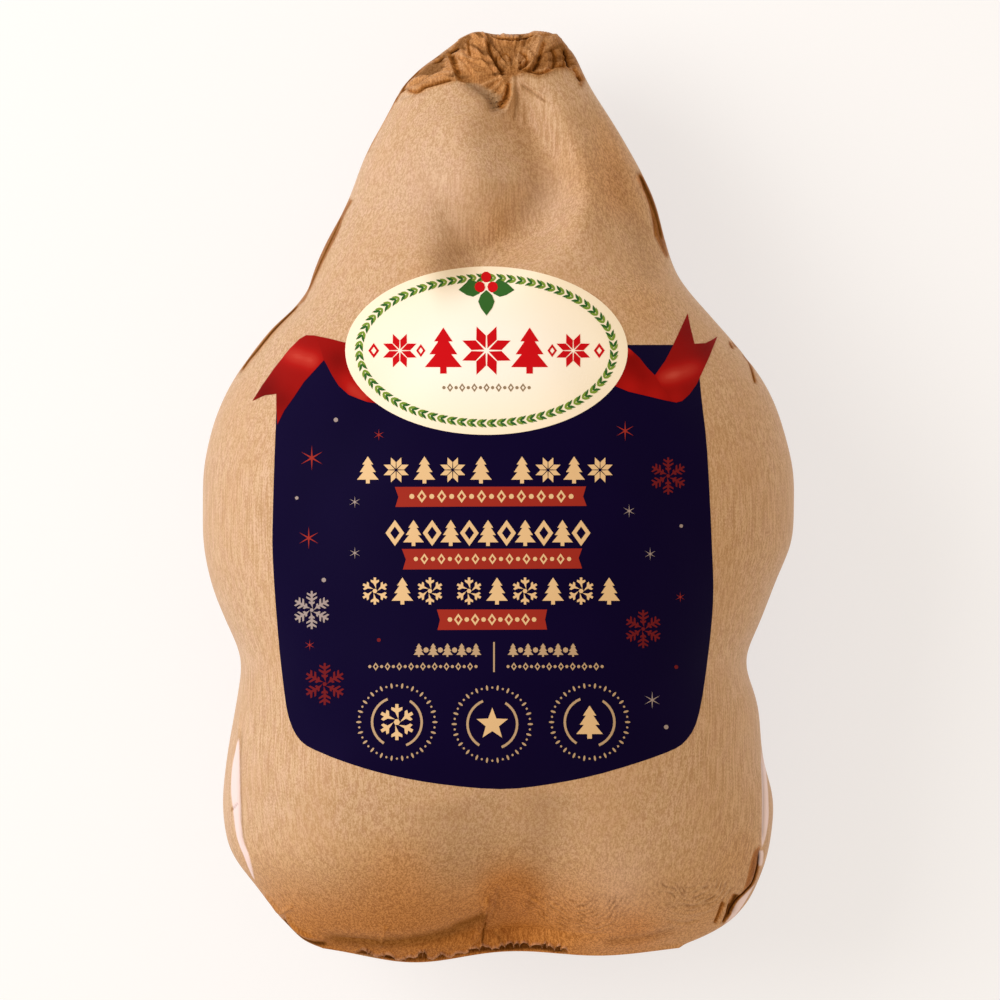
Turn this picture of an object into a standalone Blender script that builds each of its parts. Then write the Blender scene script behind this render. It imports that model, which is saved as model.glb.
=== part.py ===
"""A whole frozen turkey in its shut shrink bag, lying on its back with the printed side up.

The bag is opaque and shut, so bird and film are one solid. It is a loft: rings round the bird, from the
crimped seam at the neck end (-Y) to the gathered film at the legs (+Y). Each ring is a superellipse whose
half widths and heights come from the stations below. The relief of breast and legs is added on top.
"""

import math

import bmesh
import bpy

MM = 0.001

# Driving sizes, in millimetres
LENGTH = 336.0
WIDTH = 214.0
HEIGHT = 146.0

# Stations of the loft, in percent. Place is the distance from the seam, of LENGTH. Left and right are the
# distances of the silhouette from the middle line, of half the WIDTH. Crown, rim and belly are the heights
# of the top, of the widest line and of the underside, of HEIGHT. A belly under 0 rests flat on the ground.
STATION_PLACE, STATION_LEFT, STATION_RIGHT, STATION_CROWN, STATION_RIM, STATION_BELLY = range(6)
STATIONS = (
    (2.0, 58.8, 60.5, 53.5, 52.0, 50.5),  # seam
    (2.4, 63.2, 62.8, 56.0, 51.5, 45.5),
    (2.9, 66.4, 67.6, 59.0, 51.0, 40.0),
    (3.5, 68.6, 72.0, 62.5, 50.0, 34.5),
    (5.3, 74.2, 80.8, 70.0, 47.5, 23.5),
    (8.5, 82.0, 87.0, 79.5, 44.0, 11.0),
    (12.0, 90.5, 91.0, 87.0, 41.0, 3.5),
    (17.0, 93.0, 92.8, 92.0, 39.0, -0.5),  # shoulders, with the wings folded in
    (22.0, 91.5, 89.0, 96.0, 39.0, -1.8),
    (27.5, 88.5, 87.5, 98.5, 39.0, -2.3),
    (32.3, 86.5, 83.0, 100.0, 39.5, -2.5),  # waist between wings and thighs
    (36.0, 91.0, 87.5, 100.0, 40.5, -2.5),
    (41.0, 97.0, 93.5, 100.0, 41.5, -2.5),
    (46.0, 99.5, 99.2, 99.5, 42.0, -2.5),  # thighs, the widest part
    (51.5, 99.5, 99.5, 98.0, 41.5, -2.2),
    (56.5, 97.0, 96.5, 95.5, 41.0, -1.5),
    (61.0, 91.8, 91.5, 91.5, 40.0, -0.5),
    (66.0, 81.4, 80.5, 85.5, 39.0, 1.0),
    (69.3, 72.4, 71.3, 81.5, 38.3, 2.3),
    (71.0, 65.4, 66.8, 79.0, 38.0, 3.0),  # where the thighs end and the legs begin
    (72.7, 63.8, 61.9, 77.0, 37.7, 3.6),
    (76.0, 60.0, 57.5, 73.0, 37.0, 5.0),
    (81.5, 51.0, 53.0, 67.0, 36.5, 7.5),
    (87.0, 44.5, 44.5, 61.0, 35.5, 10.5),
    (91.0, 37.5, 37.0, 56.0, 35.0, 14.0),
    (94.5, 31.8, 30.0, 50.5, 34.0, 17.5),
    (97.5, 20.2, 25.7, 45.0, 33.0, 21.0),
    (99.0, 13.8, 21.6, 41.5, 32.5, 23.5),  # gathered end
)

# The curve through the stations is averaged over these shares of SMOOTHING_REACH, in percent of the length.
# Away from the rim the rings follow the mean width over BRIDGING, in percent, since the tight film bridges there.
SMOOTHING = (-1.0, -0.7, -0.4, -0.15, 0.15, 0.4, 0.7, 1.0)
SMOOTHING_REACH = 1.7
BRIDGING = (-8.0, -4.0, 0.0, 4.0, 8.0)

# Roundness of the rings: 2 is an ellipse, more is fuller at the corners
CROWN_FULLNESS = 2.15
BELLY_FULLNESS = 2.3

RING_POINTS = 72
RING_COUNT = 60
END_CROWDING = 0.55  # share of cosine spacing, which sets the rings closer at both ends

# Hollows and swellings of the bird under the film, each along a line of X, Y places: the height it adds (below
# zero for a hollow), its half width on the line's left and on its right, and the share of the line's length over
# which each end fades
FORMS = (
    # hollow between the legs, which turns off under the left leg
    (((5, 154), (7, 141), (13, 129), (19, 119), (20, 108), (15, 97), (2, 87), (-11, 80), (-26, 75)), -14.5, 8.5, 21.0, 0.2),
    # left leg, right leg and the hollow on its flank
    (((-17, 144), (-12, 132), (-8, 121), (-9, 110), (-14, 100)), 4.0, 13.0, 12.0, 0.3),
    (((24, 134), (27, 123), (29, 110), (27, 98), (22, 87)), 3.2, 9.0, 9.0, 0.3),
    (((34, 148), (38, 134), (41, 120), (47, 105), (54, 91), (62, 73)), -7.5, 10.0, 10.0, 0.2),
    # wide hollow between the two sides of the breast at the neck end, with a narrower one along its bottom
    (((24, -69), (-3, -240)), -14.0, 60.0, 42.0, 0.55),
    (((24, -69), (-3, -240)), -5.0, 14.0, 26.0, 0.5),
    # right and left shoulder
    (((60, -126), (56, -140), (50, -155), (47, -183)), 6.0, 22.0, 26.0, 0.35),
    (((-64, -80), (-66, -108), (-64, -137), (-60, -165)), 5.0, 20.0, 24.0, 0.35),
    # grooves between breast and thighs, which the tight film bridges
    (((15, 72), (54, 14), (92, -46)), -1.6, 11.0, 11.0, 0.3),
    (((-15, 72), (-55, 14), (-92, -46)), -1.6, 11.0, 11.0, 0.3),
)

# The seam bows out over each side of the breast: how far, at what X, over what width
SEAM_BOWS = ((5.4, -30.0, 25.0), (3.0, 36.0, 25.0))
SEAM_BOW_FADE = 32.0
SEAM_LIP = 1.3  # how far the pressed edge stands out, along Y
SEAM_LIP_FADE = 4.0
SEAM_WAVE_HEIGHT = 0.8
SEAM_WAVE_PITCH = 16.0
SEAM_WAVE_FADE = 6.0

# Pleats of the gathered film and the rounded tip that closes it
PLEATS = 11
PLEAT_DEPTH = 0.04
PLEAT_START = 136.0
PLEAT_FULL = 162.0
TIP_RINGS = 4
TIP_BULGE = 2.0

# The tip stands out a little on both sides of the middle: how far, at what X, over what width
TIP_BUMPS = ((1.6, -8.0, 5.0), (1.5, 16.5, 6.5))
TIP_BUMP_START = 154.6

FILM_COLOUR = (0.665, 0.452, 0.250, 1.0)
FILM_ROUGHNESS = 0.45


def ease(value, start, end):
    """Smooth step: 0 at start, 1 at end."""
    t = min(max((value - start) / (end - start), 0.0), 1.0)
    return t * t * (3.0 - 2.0 * t)


def bell(value, centre, width):
    return math.exp(-(((value - centre) / width) ** 2))


def station_slope(column, index):
    """Slope of a station column at one row, flat at its highs and lows so that the curve never overshoots."""
    if index in (0, len(STATIONS) - 1):
        near = min(index, len(STATIONS) - 2)
        a, b = STATIONS[near], STATIONS[near + 1]
        return (b[column] - a[column]) / (b[STATION_PLACE] - a[STATION_PLACE])
    before, here, after = STATIONS[index - 1 : index + 2]
    gap_before = here[STATION_PLACE] - before[STATION_PLACE]
    gap_after = after[STATION_PLACE] - here[STATION_PLACE]
    slope_before = (here[column] - before[column]) / gap_before
    slope_after = (after[column] - here[column]) / gap_after
    if slope_before * slope_after <= 0.0:
        return 0.0
    return (gap_before + gap_after) / (gap_before / slope_after + gap_after / slope_before)


def station_curve(place, column):
    """Value of a station column at a place between 0 and 100 percent, on the curve through the stations."""
    place = min(max(place, STATIONS[0][STATION_PLACE]), STATIONS[-1][STATION_PLACE])
    row = 0
    while row < len(STATIONS) - 2 and STATIONS[row + 1][STATION_PLACE] < place:
        row += 1
    a, b = STATIONS[row], STATIONS[row + 1]
    gap = b[STATION_PLACE] - a[STATION_PLACE]
    t = (place - a[STATION_PLACE]) / gap
    return (
        a[column] * (1.0 + 2.0 * t) * (1.0 - t) ** 2
        + b[column] * t * t * (3.0 - 2.0 * t)
        + gap * station_slope(column, row) * t * (1.0 - t) ** 2
        - gap * station_slope(column, row + 1) * t * t * (1.0 - t)
    )


def station(place, column):
    """The same curve with its joins smoothed, less near the two ends."""
    first, last = STATIONS[0][STATION_PLACE], STATIONS[-1][STATION_PLACE]
    place = min(max(place, first), last)
    reach = min(SMOOTHING_REACH, 0.45 * (place - first), 0.45 * (last - place))
    return sum(station_curve(place + reach * part, column) for part in SMOOTHING) / len(SMOOTHING)


def signed_power(value, power):
    return math.copysign(abs(value) ** power, value)


def off_line(x, y, line):
    """Distance from a line in plan, which side it is on (left is 1), and how far along it, from 0 to 1."""
    best, side, at, total = math.inf, 1.0, 0.0, 0.0
    for (ax, ay), (bx, by) in zip(line, line[1:]):
        length = math.hypot(bx - ax, by - ay)
        ux, uy = (bx - ax) / length, (by - ay) / length
        t = min(max((x - ax) * ux + (y - ay) * uy, 0.0), length)
        dx, dy = x - ax - t * ux, y - ay - t * uy
        if math.hypot(dx, dy) < best:
            best, side, at = math.hypot(dx, dy), 1.0 if ux * dy - uy * dx >= 0.0 else -1.0, total + t
        total += length
    return best, side, at / total


def relief(x, y):
    """Height that the hollows and swellings add to the upper side."""
    height = 0.0
    for line, rise, left, right, fade in FORMS:
        distance, side, along = off_line(x, y, line)
        ends = ease(along, 0.0, fade) * ease(1.0 - along, 0.0, fade)
        height += rise * bell(distance, 0.0, left if side > 0.0 else right) * ends
    return height


def film_point(place, angle):
    """Point of the bag, in millimetres: angle 0 is the right rim, a quarter turn the crown."""
    left = station(place, STATION_LEFT) * WIDTH / 200.0
    right = station(place, STATION_RIGHT) * WIDTH / 200.0
    crown = station(place, STATION_CROWN) * HEIGHT / 100.0
    rim = station(place, STATION_RIM) * HEIGHT / 100.0
    belly = station(place, STATION_BELLY) * HEIGHT / 100.0
    y = (place / 100.0 - 0.5) * LENGTH
    half = (right + left) / 2.0
    bridged = sum(station(place + step, STATION_LEFT) + station(place + step, STATION_RIGHT) for step in BRIDGING)
    bridged = bridged / len(BRIDGING) * WIDTH / 400.0
    bridged += (half - bridged) * ease(abs(place - 50.0), 32.0, 42.0)

    across, up = math.cos(angle), math.sin(angle)
    power = 2.0 / (CROWN_FULLNESS if up > 0.0 else BELLY_FULLNESS)
    pleat = 1.0 + PLEAT_DEPTH * ease(y, PLEAT_START, PLEAT_FULL) * math.cos(PLEATS * angle)
    out = abs(across) ** power
    x = (right - left) / 2.0 + math.copysign(out, across) * (bridged + (half - bridged) * out**5) * pleat
    lift = signed_power(up, power) * pleat
    if up > 0.0:
        thickness = crown - rim
        z = rim + thickness * lift + relief(x, y) * up * min(thickness / 25.0, 1.0)
    else:
        z = rim + (rim - belly) * lift

    seam = STATIONS[0][STATION_PLACE] / 100.0 * LENGTH - LENGTH / 2.0
    bow = sum(reach * bell(x, centre, width) for reach, centre, width in SEAM_BOWS)
    y -= bow * (1.0 - ease(y, seam, seam + SEAM_BOW_FADE)) + SEAM_LIP * (1.0 - ease(y, seam, seam + SEAM_LIP_FADE))
    tip = ease(y, TIP_BUMP_START, LENGTH / 2.0 * (STATIONS[-1][STATION_PLACE] / 50.0 - 1.0))
    y += tip * sum(reach * bell(x, centre, width) for reach, centre, width in TIP_BUMPS)
    wave = 1.0 - ease(y, seam, seam + SEAM_WAVE_FADE)
    z += SEAM_WAVE_HEIGHT * wave * math.sin(2.0 * math.pi * x / SEAM_WAVE_PITCH)
    return x, y, max(z, 0.0)


def ring_places():
    """Places of the rings along the bird, closer together at both ends."""
    first, last = STATIONS[0][STATION_PLACE], STATIONS[-1][STATION_PLACE]
    for index in range(RING_COUNT):
        t = index / (RING_COUNT - 1)
        crowded = 0.5 - 0.5 * math.cos(math.pi * t)
        yield first + (last - first) * (t + END_CROWDING * (crowded - t))


def tip_ring(step):
    """One ring of the rounded tip that closes the gathered end."""
    turn = step / (TIP_RINGS + 1) * math.pi / 2.0
    last = STATIONS[-1]
    middle_x = (last[STATION_RIGHT] - last[STATION_LEFT]) * WIDTH / 400.0
    middle_z = last[STATION_RIM] * HEIGHT / 100.0
    points = []
    for index in range(RING_POINTS):
        x, y, z = film_point(last[STATION_PLACE], 2.0 * math.pi * index / RING_POINTS)
        points.append(
            (
                middle_x + (x - middle_x) * math.cos(turn),
                y + TIP_BULGE * math.sin(turn),
                middle_z + (z - middle_z) * math.cos(turn),
            )
        )
    return points


def build_wrapped_turkey():
    mesh = bpy.data.meshes.new("wrapped_turkey")
    shape = bmesh.new()

    def add_ring(points):
        return [shape.verts.new([value * MM for value in point]) for point in points]

    angles = [2.0 * math.pi * index / RING_POINTS for index in range(RING_POINTS)]
    rings = [add_ring([film_point(place, angle) for angle in angles]) for place in ring_places()]
    rings += [add_ring(tip_ring(step)) for step in range(1, TIP_RINGS + 1)]

    for near, far in zip(rings, rings[1:]):
        for index in range(RING_POINTS):
            after = (index + 1) % RING_POINTS
            shape.faces.new((near[index], far[index], far[after], near[after]))

    # The seam: the upper and lower edge of the first ring are pressed together
    seam = rings[0]
    for index in range(RING_POINTS // 2):
        mirrored, mirrored_after = (-index) % RING_POINTS, (-index - 1) % RING_POINTS
        corners = (seam[index], seam[index + 1], seam[mirrored_after], seam[mirrored])
        shape.faces.new(list(dict.fromkeys(corners)))

    # The pole of the rounded tip
    tip = rings[-1]
    middle = [sum(vertex.co[axis] for vertex in tip) / RING_POINTS for axis in range(3)]
    pole = shape.verts.new((middle[0], tip[0].co.y + (TIP_BULGE * MM) * 0.05, middle[2]))
    for index in range(RING_POINTS):
        shape.faces.new((tip[index], pole, tip[(index + 1) % RING_POINTS]))

    bmesh.ops.recalc_face_normals(shape, faces=shape.faces)
    bmesh.ops.triangulate(shape, faces=shape.faces)
    shape.to_mesh(mesh)
    shape.free()
    mesh.shade_smooth()
    return bpy.data.objects.new("wrapped_turkey", mesh)


def printed_film():
    """Tan printed shrink film, slightly glossy."""
    material = bpy.data.materials.new("printed_shrink_film")
    material.use_nodes = True
    shader = material.node_tree.nodes["Principled BSDF"]
    shader.inputs["Base Color"].default_value = FILM_COLOUR
    shader.inputs["Roughness"].default_value = FILM_ROUGHNESS
    shader.inputs["Metallic"].default_value = 0.0
    return material


for old in list(bpy.data.objects):
    bpy.data.objects.remove(old, do_unlink=True)

collection = bpy.data.collections.new("wrapped_whole_turkey")
bpy.context.scene.collection.children.link(collection)
turkey = build_wrapped_turkey()
turkey.data.materials.append(printed_film())
collection.objects.link(turkey)
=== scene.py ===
import math

import bmesh
import bpy
import numpy as np
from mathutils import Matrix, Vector, geometry, noise


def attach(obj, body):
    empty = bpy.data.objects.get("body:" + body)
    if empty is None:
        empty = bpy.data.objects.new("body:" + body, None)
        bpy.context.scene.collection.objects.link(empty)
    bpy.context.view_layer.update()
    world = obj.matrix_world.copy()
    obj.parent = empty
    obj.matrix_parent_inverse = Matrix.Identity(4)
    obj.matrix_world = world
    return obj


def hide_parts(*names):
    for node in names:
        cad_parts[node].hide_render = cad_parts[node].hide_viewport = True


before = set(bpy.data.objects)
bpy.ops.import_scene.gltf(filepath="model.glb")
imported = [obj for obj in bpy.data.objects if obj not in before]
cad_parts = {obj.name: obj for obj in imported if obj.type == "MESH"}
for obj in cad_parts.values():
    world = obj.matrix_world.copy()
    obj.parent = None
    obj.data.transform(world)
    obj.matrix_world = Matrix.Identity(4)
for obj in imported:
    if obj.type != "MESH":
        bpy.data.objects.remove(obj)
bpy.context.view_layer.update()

# The camera
# The pack was photographed straight on. It lies on its back here, so the camera looks straight down on it.
# The picture is 1000 pixels wide; PIXEL is what one of them covers at the height of the silhouette.
PIXEL = 0.0003609
PICTURE_MIDDLE = (500.0, 500.0)
PACK_MIDDLE = (498.5, 495.5)
RIM_HEIGHT = 0.058
CAMERA_DISTANCE = 2.4
SENSOR = 36.0

camera_data = bpy.data.cameras.new("straight_down")
camera_data.sensor_width = SENSOR
camera_data.lens = SENSOR * CAMERA_DISTANCE / (PIXEL * 1000.0)
camera = bpy.data.objects.new("straight_down", camera_data)
camera.location = (
    (PICTURE_MIDDLE[0] - PACK_MIDDLE[0]) * PIXEL,
    (PACK_MIDDLE[1] - PICTURE_MIDDLE[1]) * PIXEL,
    RIM_HEIGHT + CAMERA_DISTANCE,
)
bpy.context.scene.collection.objects.link(camera)
bpy.context.scene.camera = camera
bpy.context.scene.view_settings.view_transform = "Standard"


def on_plan(points, height):
    """Pixels of the picture as places in plan, in millimetres, of what lies at that height."""
    shrink = 1.0 - (height - 1000.0 * RIM_HEIGHT) / (1000.0 * CAMERA_DISTANCE)
    across, down = PICTURE_MIDDLE
    middle = np.array((across - PACK_MIDDLE[0], PACK_MIDDLE[1] - down))
    away = (np.array(points, dtype=float) - PICTURE_MIDDLE) * (1.0, -1.0)
    return (middle + away * shrink) * PIXEL * 1000.0


def path(text):
    """Places of the picture from text, written across,down across,down as in a vector drawing."""
    return [tuple(float(number) for number in place.split(",")) for place in text.split()]


# The turkey under its film
# A frozen turkey on its back: gathered film at the legs (+Y), a crimped seam at the neck end (-Y). The bag is
# polyethylene shrink film, dipped in hot water so that it draws tight over breast, thighs and folded wings.
# The form is a loft of rings, the same as the solid's, and its sizes here are in millimetres.
MM = 0.001
LENGTH, WIDTH, HEIGHT = 336.0, 214.0, 146.0
# Stations along the bag: the place in percent of the length, the half widths to the left and to the right in
# percent of half the width, and how high crown, rim (the widest line) and belly lie in percent of the height
PLACE, LEFT, RIGHT, CROWN, RIM, BELLY = range(6)
STATIONS = np.array((
    (2.0, 58.8, 60.5, 53.5, 52.0, 50.5),  # seam
    (2.4, 63.2, 62.8, 56.0, 51.5, 45.5),
    (2.9, 66.4, 67.6, 59.0, 51.0, 40.0),
    (3.5, 68.6, 72.0, 62.5, 50.0, 34.5),
    (5.3, 74.2, 80.8, 70.0, 47.5, 23.5),
    (8.5, 82.0, 87.0, 79.5, 44.0, 11.0),
    (12.0, 90.5, 91.0, 87.0, 41.0, 3.5),
    (17.0, 93.0, 92.8, 92.0, 39.0, -0.5),  # shoulders, with the wings folded in
    (22.0, 91.5, 89.0, 96.0, 39.0, -1.8),
    (27.5, 88.5, 87.5, 98.5, 39.0, -2.3),
    (32.3, 86.5, 83.0, 100.0, 39.5, -2.5),  # waist between wings and thighs
    (36.0, 91.0, 87.5, 100.0, 40.5, -2.5),
    (41.0, 97.0, 93.5, 100.0, 41.5, -2.5),
    (46.0, 99.5, 99.2, 99.5, 42.0, -2.5),  # thighs, the widest part
    (51.5, 99.5, 99.5, 98.0, 41.5, -2.2),
    (56.5, 97.0, 96.5, 95.5, 41.0, -1.5),
    (61.0, 91.8, 91.5, 91.5, 40.0, -0.5),
    (66.0, 81.4, 80.5, 85.5, 39.0, 1.0),
    (69.3, 72.4, 71.3, 81.5, 38.3, 2.3),
    (71.0, 65.4, 66.8, 79.0, 38.0, 3.0),  # where the thighs end and the legs begin
    (72.7, 63.8, 61.9, 77.0, 37.7, 3.6),
    (76.0, 60.0, 57.5, 73.0, 37.0, 5.0),
    (81.5, 51.0, 53.0, 67.0, 36.5, 7.5),
    (87.0, 44.5, 44.5, 61.0, 35.5, 10.5),
    (91.0, 37.5, 37.0, 56.0, 35.0, 14.0),
    (94.5, 31.8, 30.0, 50.5, 34.0, 17.5),
    (97.5, 20.2, 25.7, 45.0, 33.0, 21.0),
    (99.0, 13.8, 21.6, 41.5, 32.5, 23.5),  # gathered end
))
SEAM_PLACE, GATHER_PLACE = STATIONS[0, PLACE], STATIONS[-1, PLACE]
CROWN_FULLNESS, BELLY_FULLNESS = 2.15, 2.3
BRIDGING = (-8.0, -4.0, 0.0, 4.0, 8.0)  # percent of the length over which taut film spans the waist
SMOOTHING = (-1.0, -0.7, -0.4, -0.15, 0.15, 0.4, 0.7, 1.0)
SMOOTHING_REACH = 1.7
# Bows of the edge at the seam, and bumps of it at the gathered end: how far out, where across, how wide
SEAM_BOWS = ((5.4, -30.0, 25.0), (3.0, 36.0, 25.0))
SEAM_BOW_FADE = 32.0
TIP_BUMPS = ((1.6, -8.0, 5.0), (1.5, 16.5, 6.5))
TIP_BULGE, SEAM_LIP = 2.4, 0.6  # how far the pressed-shut ends stand out
SHUT_TURN = math.radians(86.0)


def ease(value, start, end):
    """Smooth step, 0 at start and 1 at end."""
    t = np.clip((value - start) / (end - start), 0.0, 1.0)
    return t * t * (3.0 - 2.0 * t)


def bell(value, centre, width):
    """A bell curve, 1 at its centre."""
    return np.exp(-(((value - centre) / width) ** 2))


def station_curve(place, column):
    """A column of the stations as a curve that is flat at its highs and lows."""
    at, value = STATIONS[:, PLACE], STATIONS[:, column]
    gap = np.diff(at)
    slope = np.diff(value) / gap
    tangent = np.empty(len(at))
    tangent[0], tangent[-1] = slope[0], slope[-1]
    same_way = slope[:-1] * slope[1:] > 0.0
    before, after = np.where(same_way, slope[:-1], 1.0), np.where(same_way, slope[1:], 1.0)
    mean = (gap[:-1] + gap[1:]) / (gap[:-1] / after + gap[1:] / before)
    tangent[1:-1] = np.where(same_way, mean, 0.0)
    row = np.clip(np.searchsorted(at, place) - 1, 0, len(at) - 2)
    t = (place - at[row]) / gap[row]
    return (
        value[row] * (1.0 + 2.0 * t) * (1.0 - t) ** 2
        + value[row + 1] * t * t * (3.0 - 2.0 * t)
        + gap[row] * tangent[row] * t * (1.0 - t) ** 2
        - gap[row] * tangent[row + 1] * t * t * (1.0 - t)
    )


def station(place, column):
    """The same curve with its joins smoothed over a few percent of the length, less near the two ends."""
    reach = np.minimum(SMOOTHING_REACH, np.minimum(place - SEAM_PLACE, GATHER_PLACE - place) * 0.45)
    return sum(station_curve(place + reach * part, column) for part in SMOOTHING) / len(SMOOTHING)


def smooth_line(points, steps=5):
    """The points with a smooth curve through them."""
    p = np.array(points, dtype=float)
    p = np.vstack((2 * p[0] - p[1], p, 2 * p[-1] - p[-2]))
    line = [p[1]]
    for a, b, c, d in zip(p, p[1:], p[2:], p[3:]):
        for t in np.arange(1, steps + 1) / steps:
            bend = (2 * a - 5 * b + 4 * c - d) * t**2 + (3 * (b - c) + d - a) * t**3
            line.append(0.5 * (2 * b + (c - a) * t + bend))
    return np.array(line)


def off_line(x, y, line):
    """Distance from a line in plan, which side it is on (left is 1), and how far along it, from 0 to 1."""
    best = np.full(x.shape, np.inf)
    side, along = np.ones(x.shape), np.zeros(x.shape)
    run = np.hypot(*np.diff(line, axis=0).T)
    start = np.concatenate(((0.0,), np.cumsum(run)))
    for (ax, ay), (bx, by), length, before in zip(line, line[1:], run, start):
        ux, uy = (bx - ax) / length, (by - ay) / length
        t = np.clip((x - ax) * ux + (y - ay) * uy, 0.0, length)
        dx, dy = x - ax - t * ux, y - ay - t * uy
        distance = np.hypot(dx, dy)
        nearer = distance < best
        best = np.where(nearer, distance, best)
        side = np.where(nearer, np.where(ux * dy - uy * dx >= 0.0, 1.0, -1.0), side)
        along = np.where(nearer, (before + t) / start[-1], along)
    return best, side, along


# Hollows and swellings of the bird under the film: a line through the picture, the height that it adds in
# millimetres, the half width on its left and on its right, the share of the line over which each end fades,
# and how much amber is painted into a hollow as painted shade
FORM_HEIGHT, FORM_STEPS = 92.0, 10
FORMS = (
    ("512,62 518,100 534,132 553,162 556,192 540,222 506,250 468,272 425,286", -14.5, 8.5, 21.0, 0.2, 0.0),
    ("450,90 466,125 476,155 474,185 458,215", 5.0, 13.0, 12.0, 0.3, 0.0),
    ("566,120 574,150 580,185 576,220 560,252", 3.2, 9.0, 9.0, 0.3, 0.0),
    ("594,80 606,120 614,158 630,200 650,240 672,290", -7.5, 10.0, 10.0, 0.2, 0.2),
    ("566,690 490,1170", -14.0, 60.0, 42.0, 0.55, 0.15),
    ("566,690 490,1170", -5.0, 14.0, 26.0, 0.5, 0.0),
    ("668,850 656,890 640,930 630,1010", 6.0, 22.0, 26.0, 0.35, 0.0),
    ("320,720 312,800 318,880 330,960", 5.0, 20.0, 24.0, 0.35, 0.0),
    ("540,293 650,455 758,625", -1.6, 11.0, 11.0, 0.3, 0.0),
    ("456,293 345,455 240,625", -1.6, 11.0, 11.0, 0.3, 0.0),
)


def relief(x, y):
    """What the hollows and swellings add to the film's height, and the amber painted into the hollows as
    shade.
    """
    height, amber = np.zeros(x.shape), np.zeros(x.shape)
    for line, rise, left, right, fade, amber_and_shade_tint in FORMS:
        distance, side, along = off_line(x, y, smooth_line(on_plan(path(line), FORM_HEIGHT), FORM_STEPS))
        form = np.where(side > 0.0, bell(distance, 0.0, left), bell(distance, 0.0, right))
        form *= ease(along, 0.0, fade) * ease(1.0 - along, 0.0, fade)
        height += rise * form
        amber = np.maximum(amber, amber_and_shade_tint * form)
    return height, amber


def bird(place, angle):
    """The film without its creases: x, y and z for a place along the bird and an angle from the right rim."""
    ring = np.clip(place, SEAM_PLACE, GATHER_PLACE)
    left = station(ring, LEFT) * WIDTH / 200.0
    right = station(ring, RIGHT) * WIDTH / 200.0
    near = [np.clip(ring + step, SEAM_PLACE, GATHER_PLACE) for step in BRIDGING]
    bridged = sum(station(at, LEFT) + station(at, RIGHT) for at in near) / len(near) * WIDTH / 400.0
    bridged = bridged + ((right + left) / 2.0 - bridged) * ease(np.abs(ring - 50.0), 32.0, 42.0)
    crown = station(ring, CROWN) * HEIGHT / 100.0
    rim = station(ring, RIM) * HEIGHT / 100.0
    belly = station(ring, BELLY) * HEIGHT / 100.0
    y = (ring / 100.0 - 0.5) * LENGTH + 0.0 * angle
    across, up = np.cos(angle), np.sin(angle)
    power = 2.0 / np.where(up > 0.0, CROWN_FULLNESS, BELLY_FULLNESS)
    middle = (right - left) / 2.0
    out = np.abs(across) ** power
    x = middle + np.sign(across) * out * (bridged + ((right + left) / 2.0 - bridged) * out**5)
    lift = np.abs(up) ** power
    above = rim + (crown - rim) * lift + relief(x, y)[0] * up * np.minimum((crown - rim) / 25.0, 1.0)
    below = rim - (rim - belly) * lift
    z = np.where(up > 0.0, above, below)

    seam_y = (SEAM_PLACE / 100.0 - 0.5) * LENGTH
    end = 1.0 - ease(y, seam_y, seam_y + SEAM_BOW_FADE)
    y = y - end * sum(reach * bell(x, at, width) for reach, at, width in SEAM_BOWS)
    tip_y = (GATHER_PLACE / 100.0 - 0.5) * LENGTH
    turn = np.clip(place - GATHER_PLACE, 0.0, 1.0) * SHUT_TURN
    shut = np.clip(SEAM_PLACE - place, 0.0, 1.0) * SHUT_TURN
    x = middle + (x - middle) * np.cos(turn)
    end = ease(y, tip_y - 10.0, tip_y)
    y = y + end * sum(reach * bell(x, at, width) for reach, at, width in TIP_BUMPS)
    z = rim + (z - rim) * np.cos(turn) * np.cos(shut)
    y = y + TIP_BULGE * np.sin(turn) - SEAM_LIP * np.sin(shut) * (1.0 - out**5)
    return x, y, np.maximum(z, 0.0)
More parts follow.
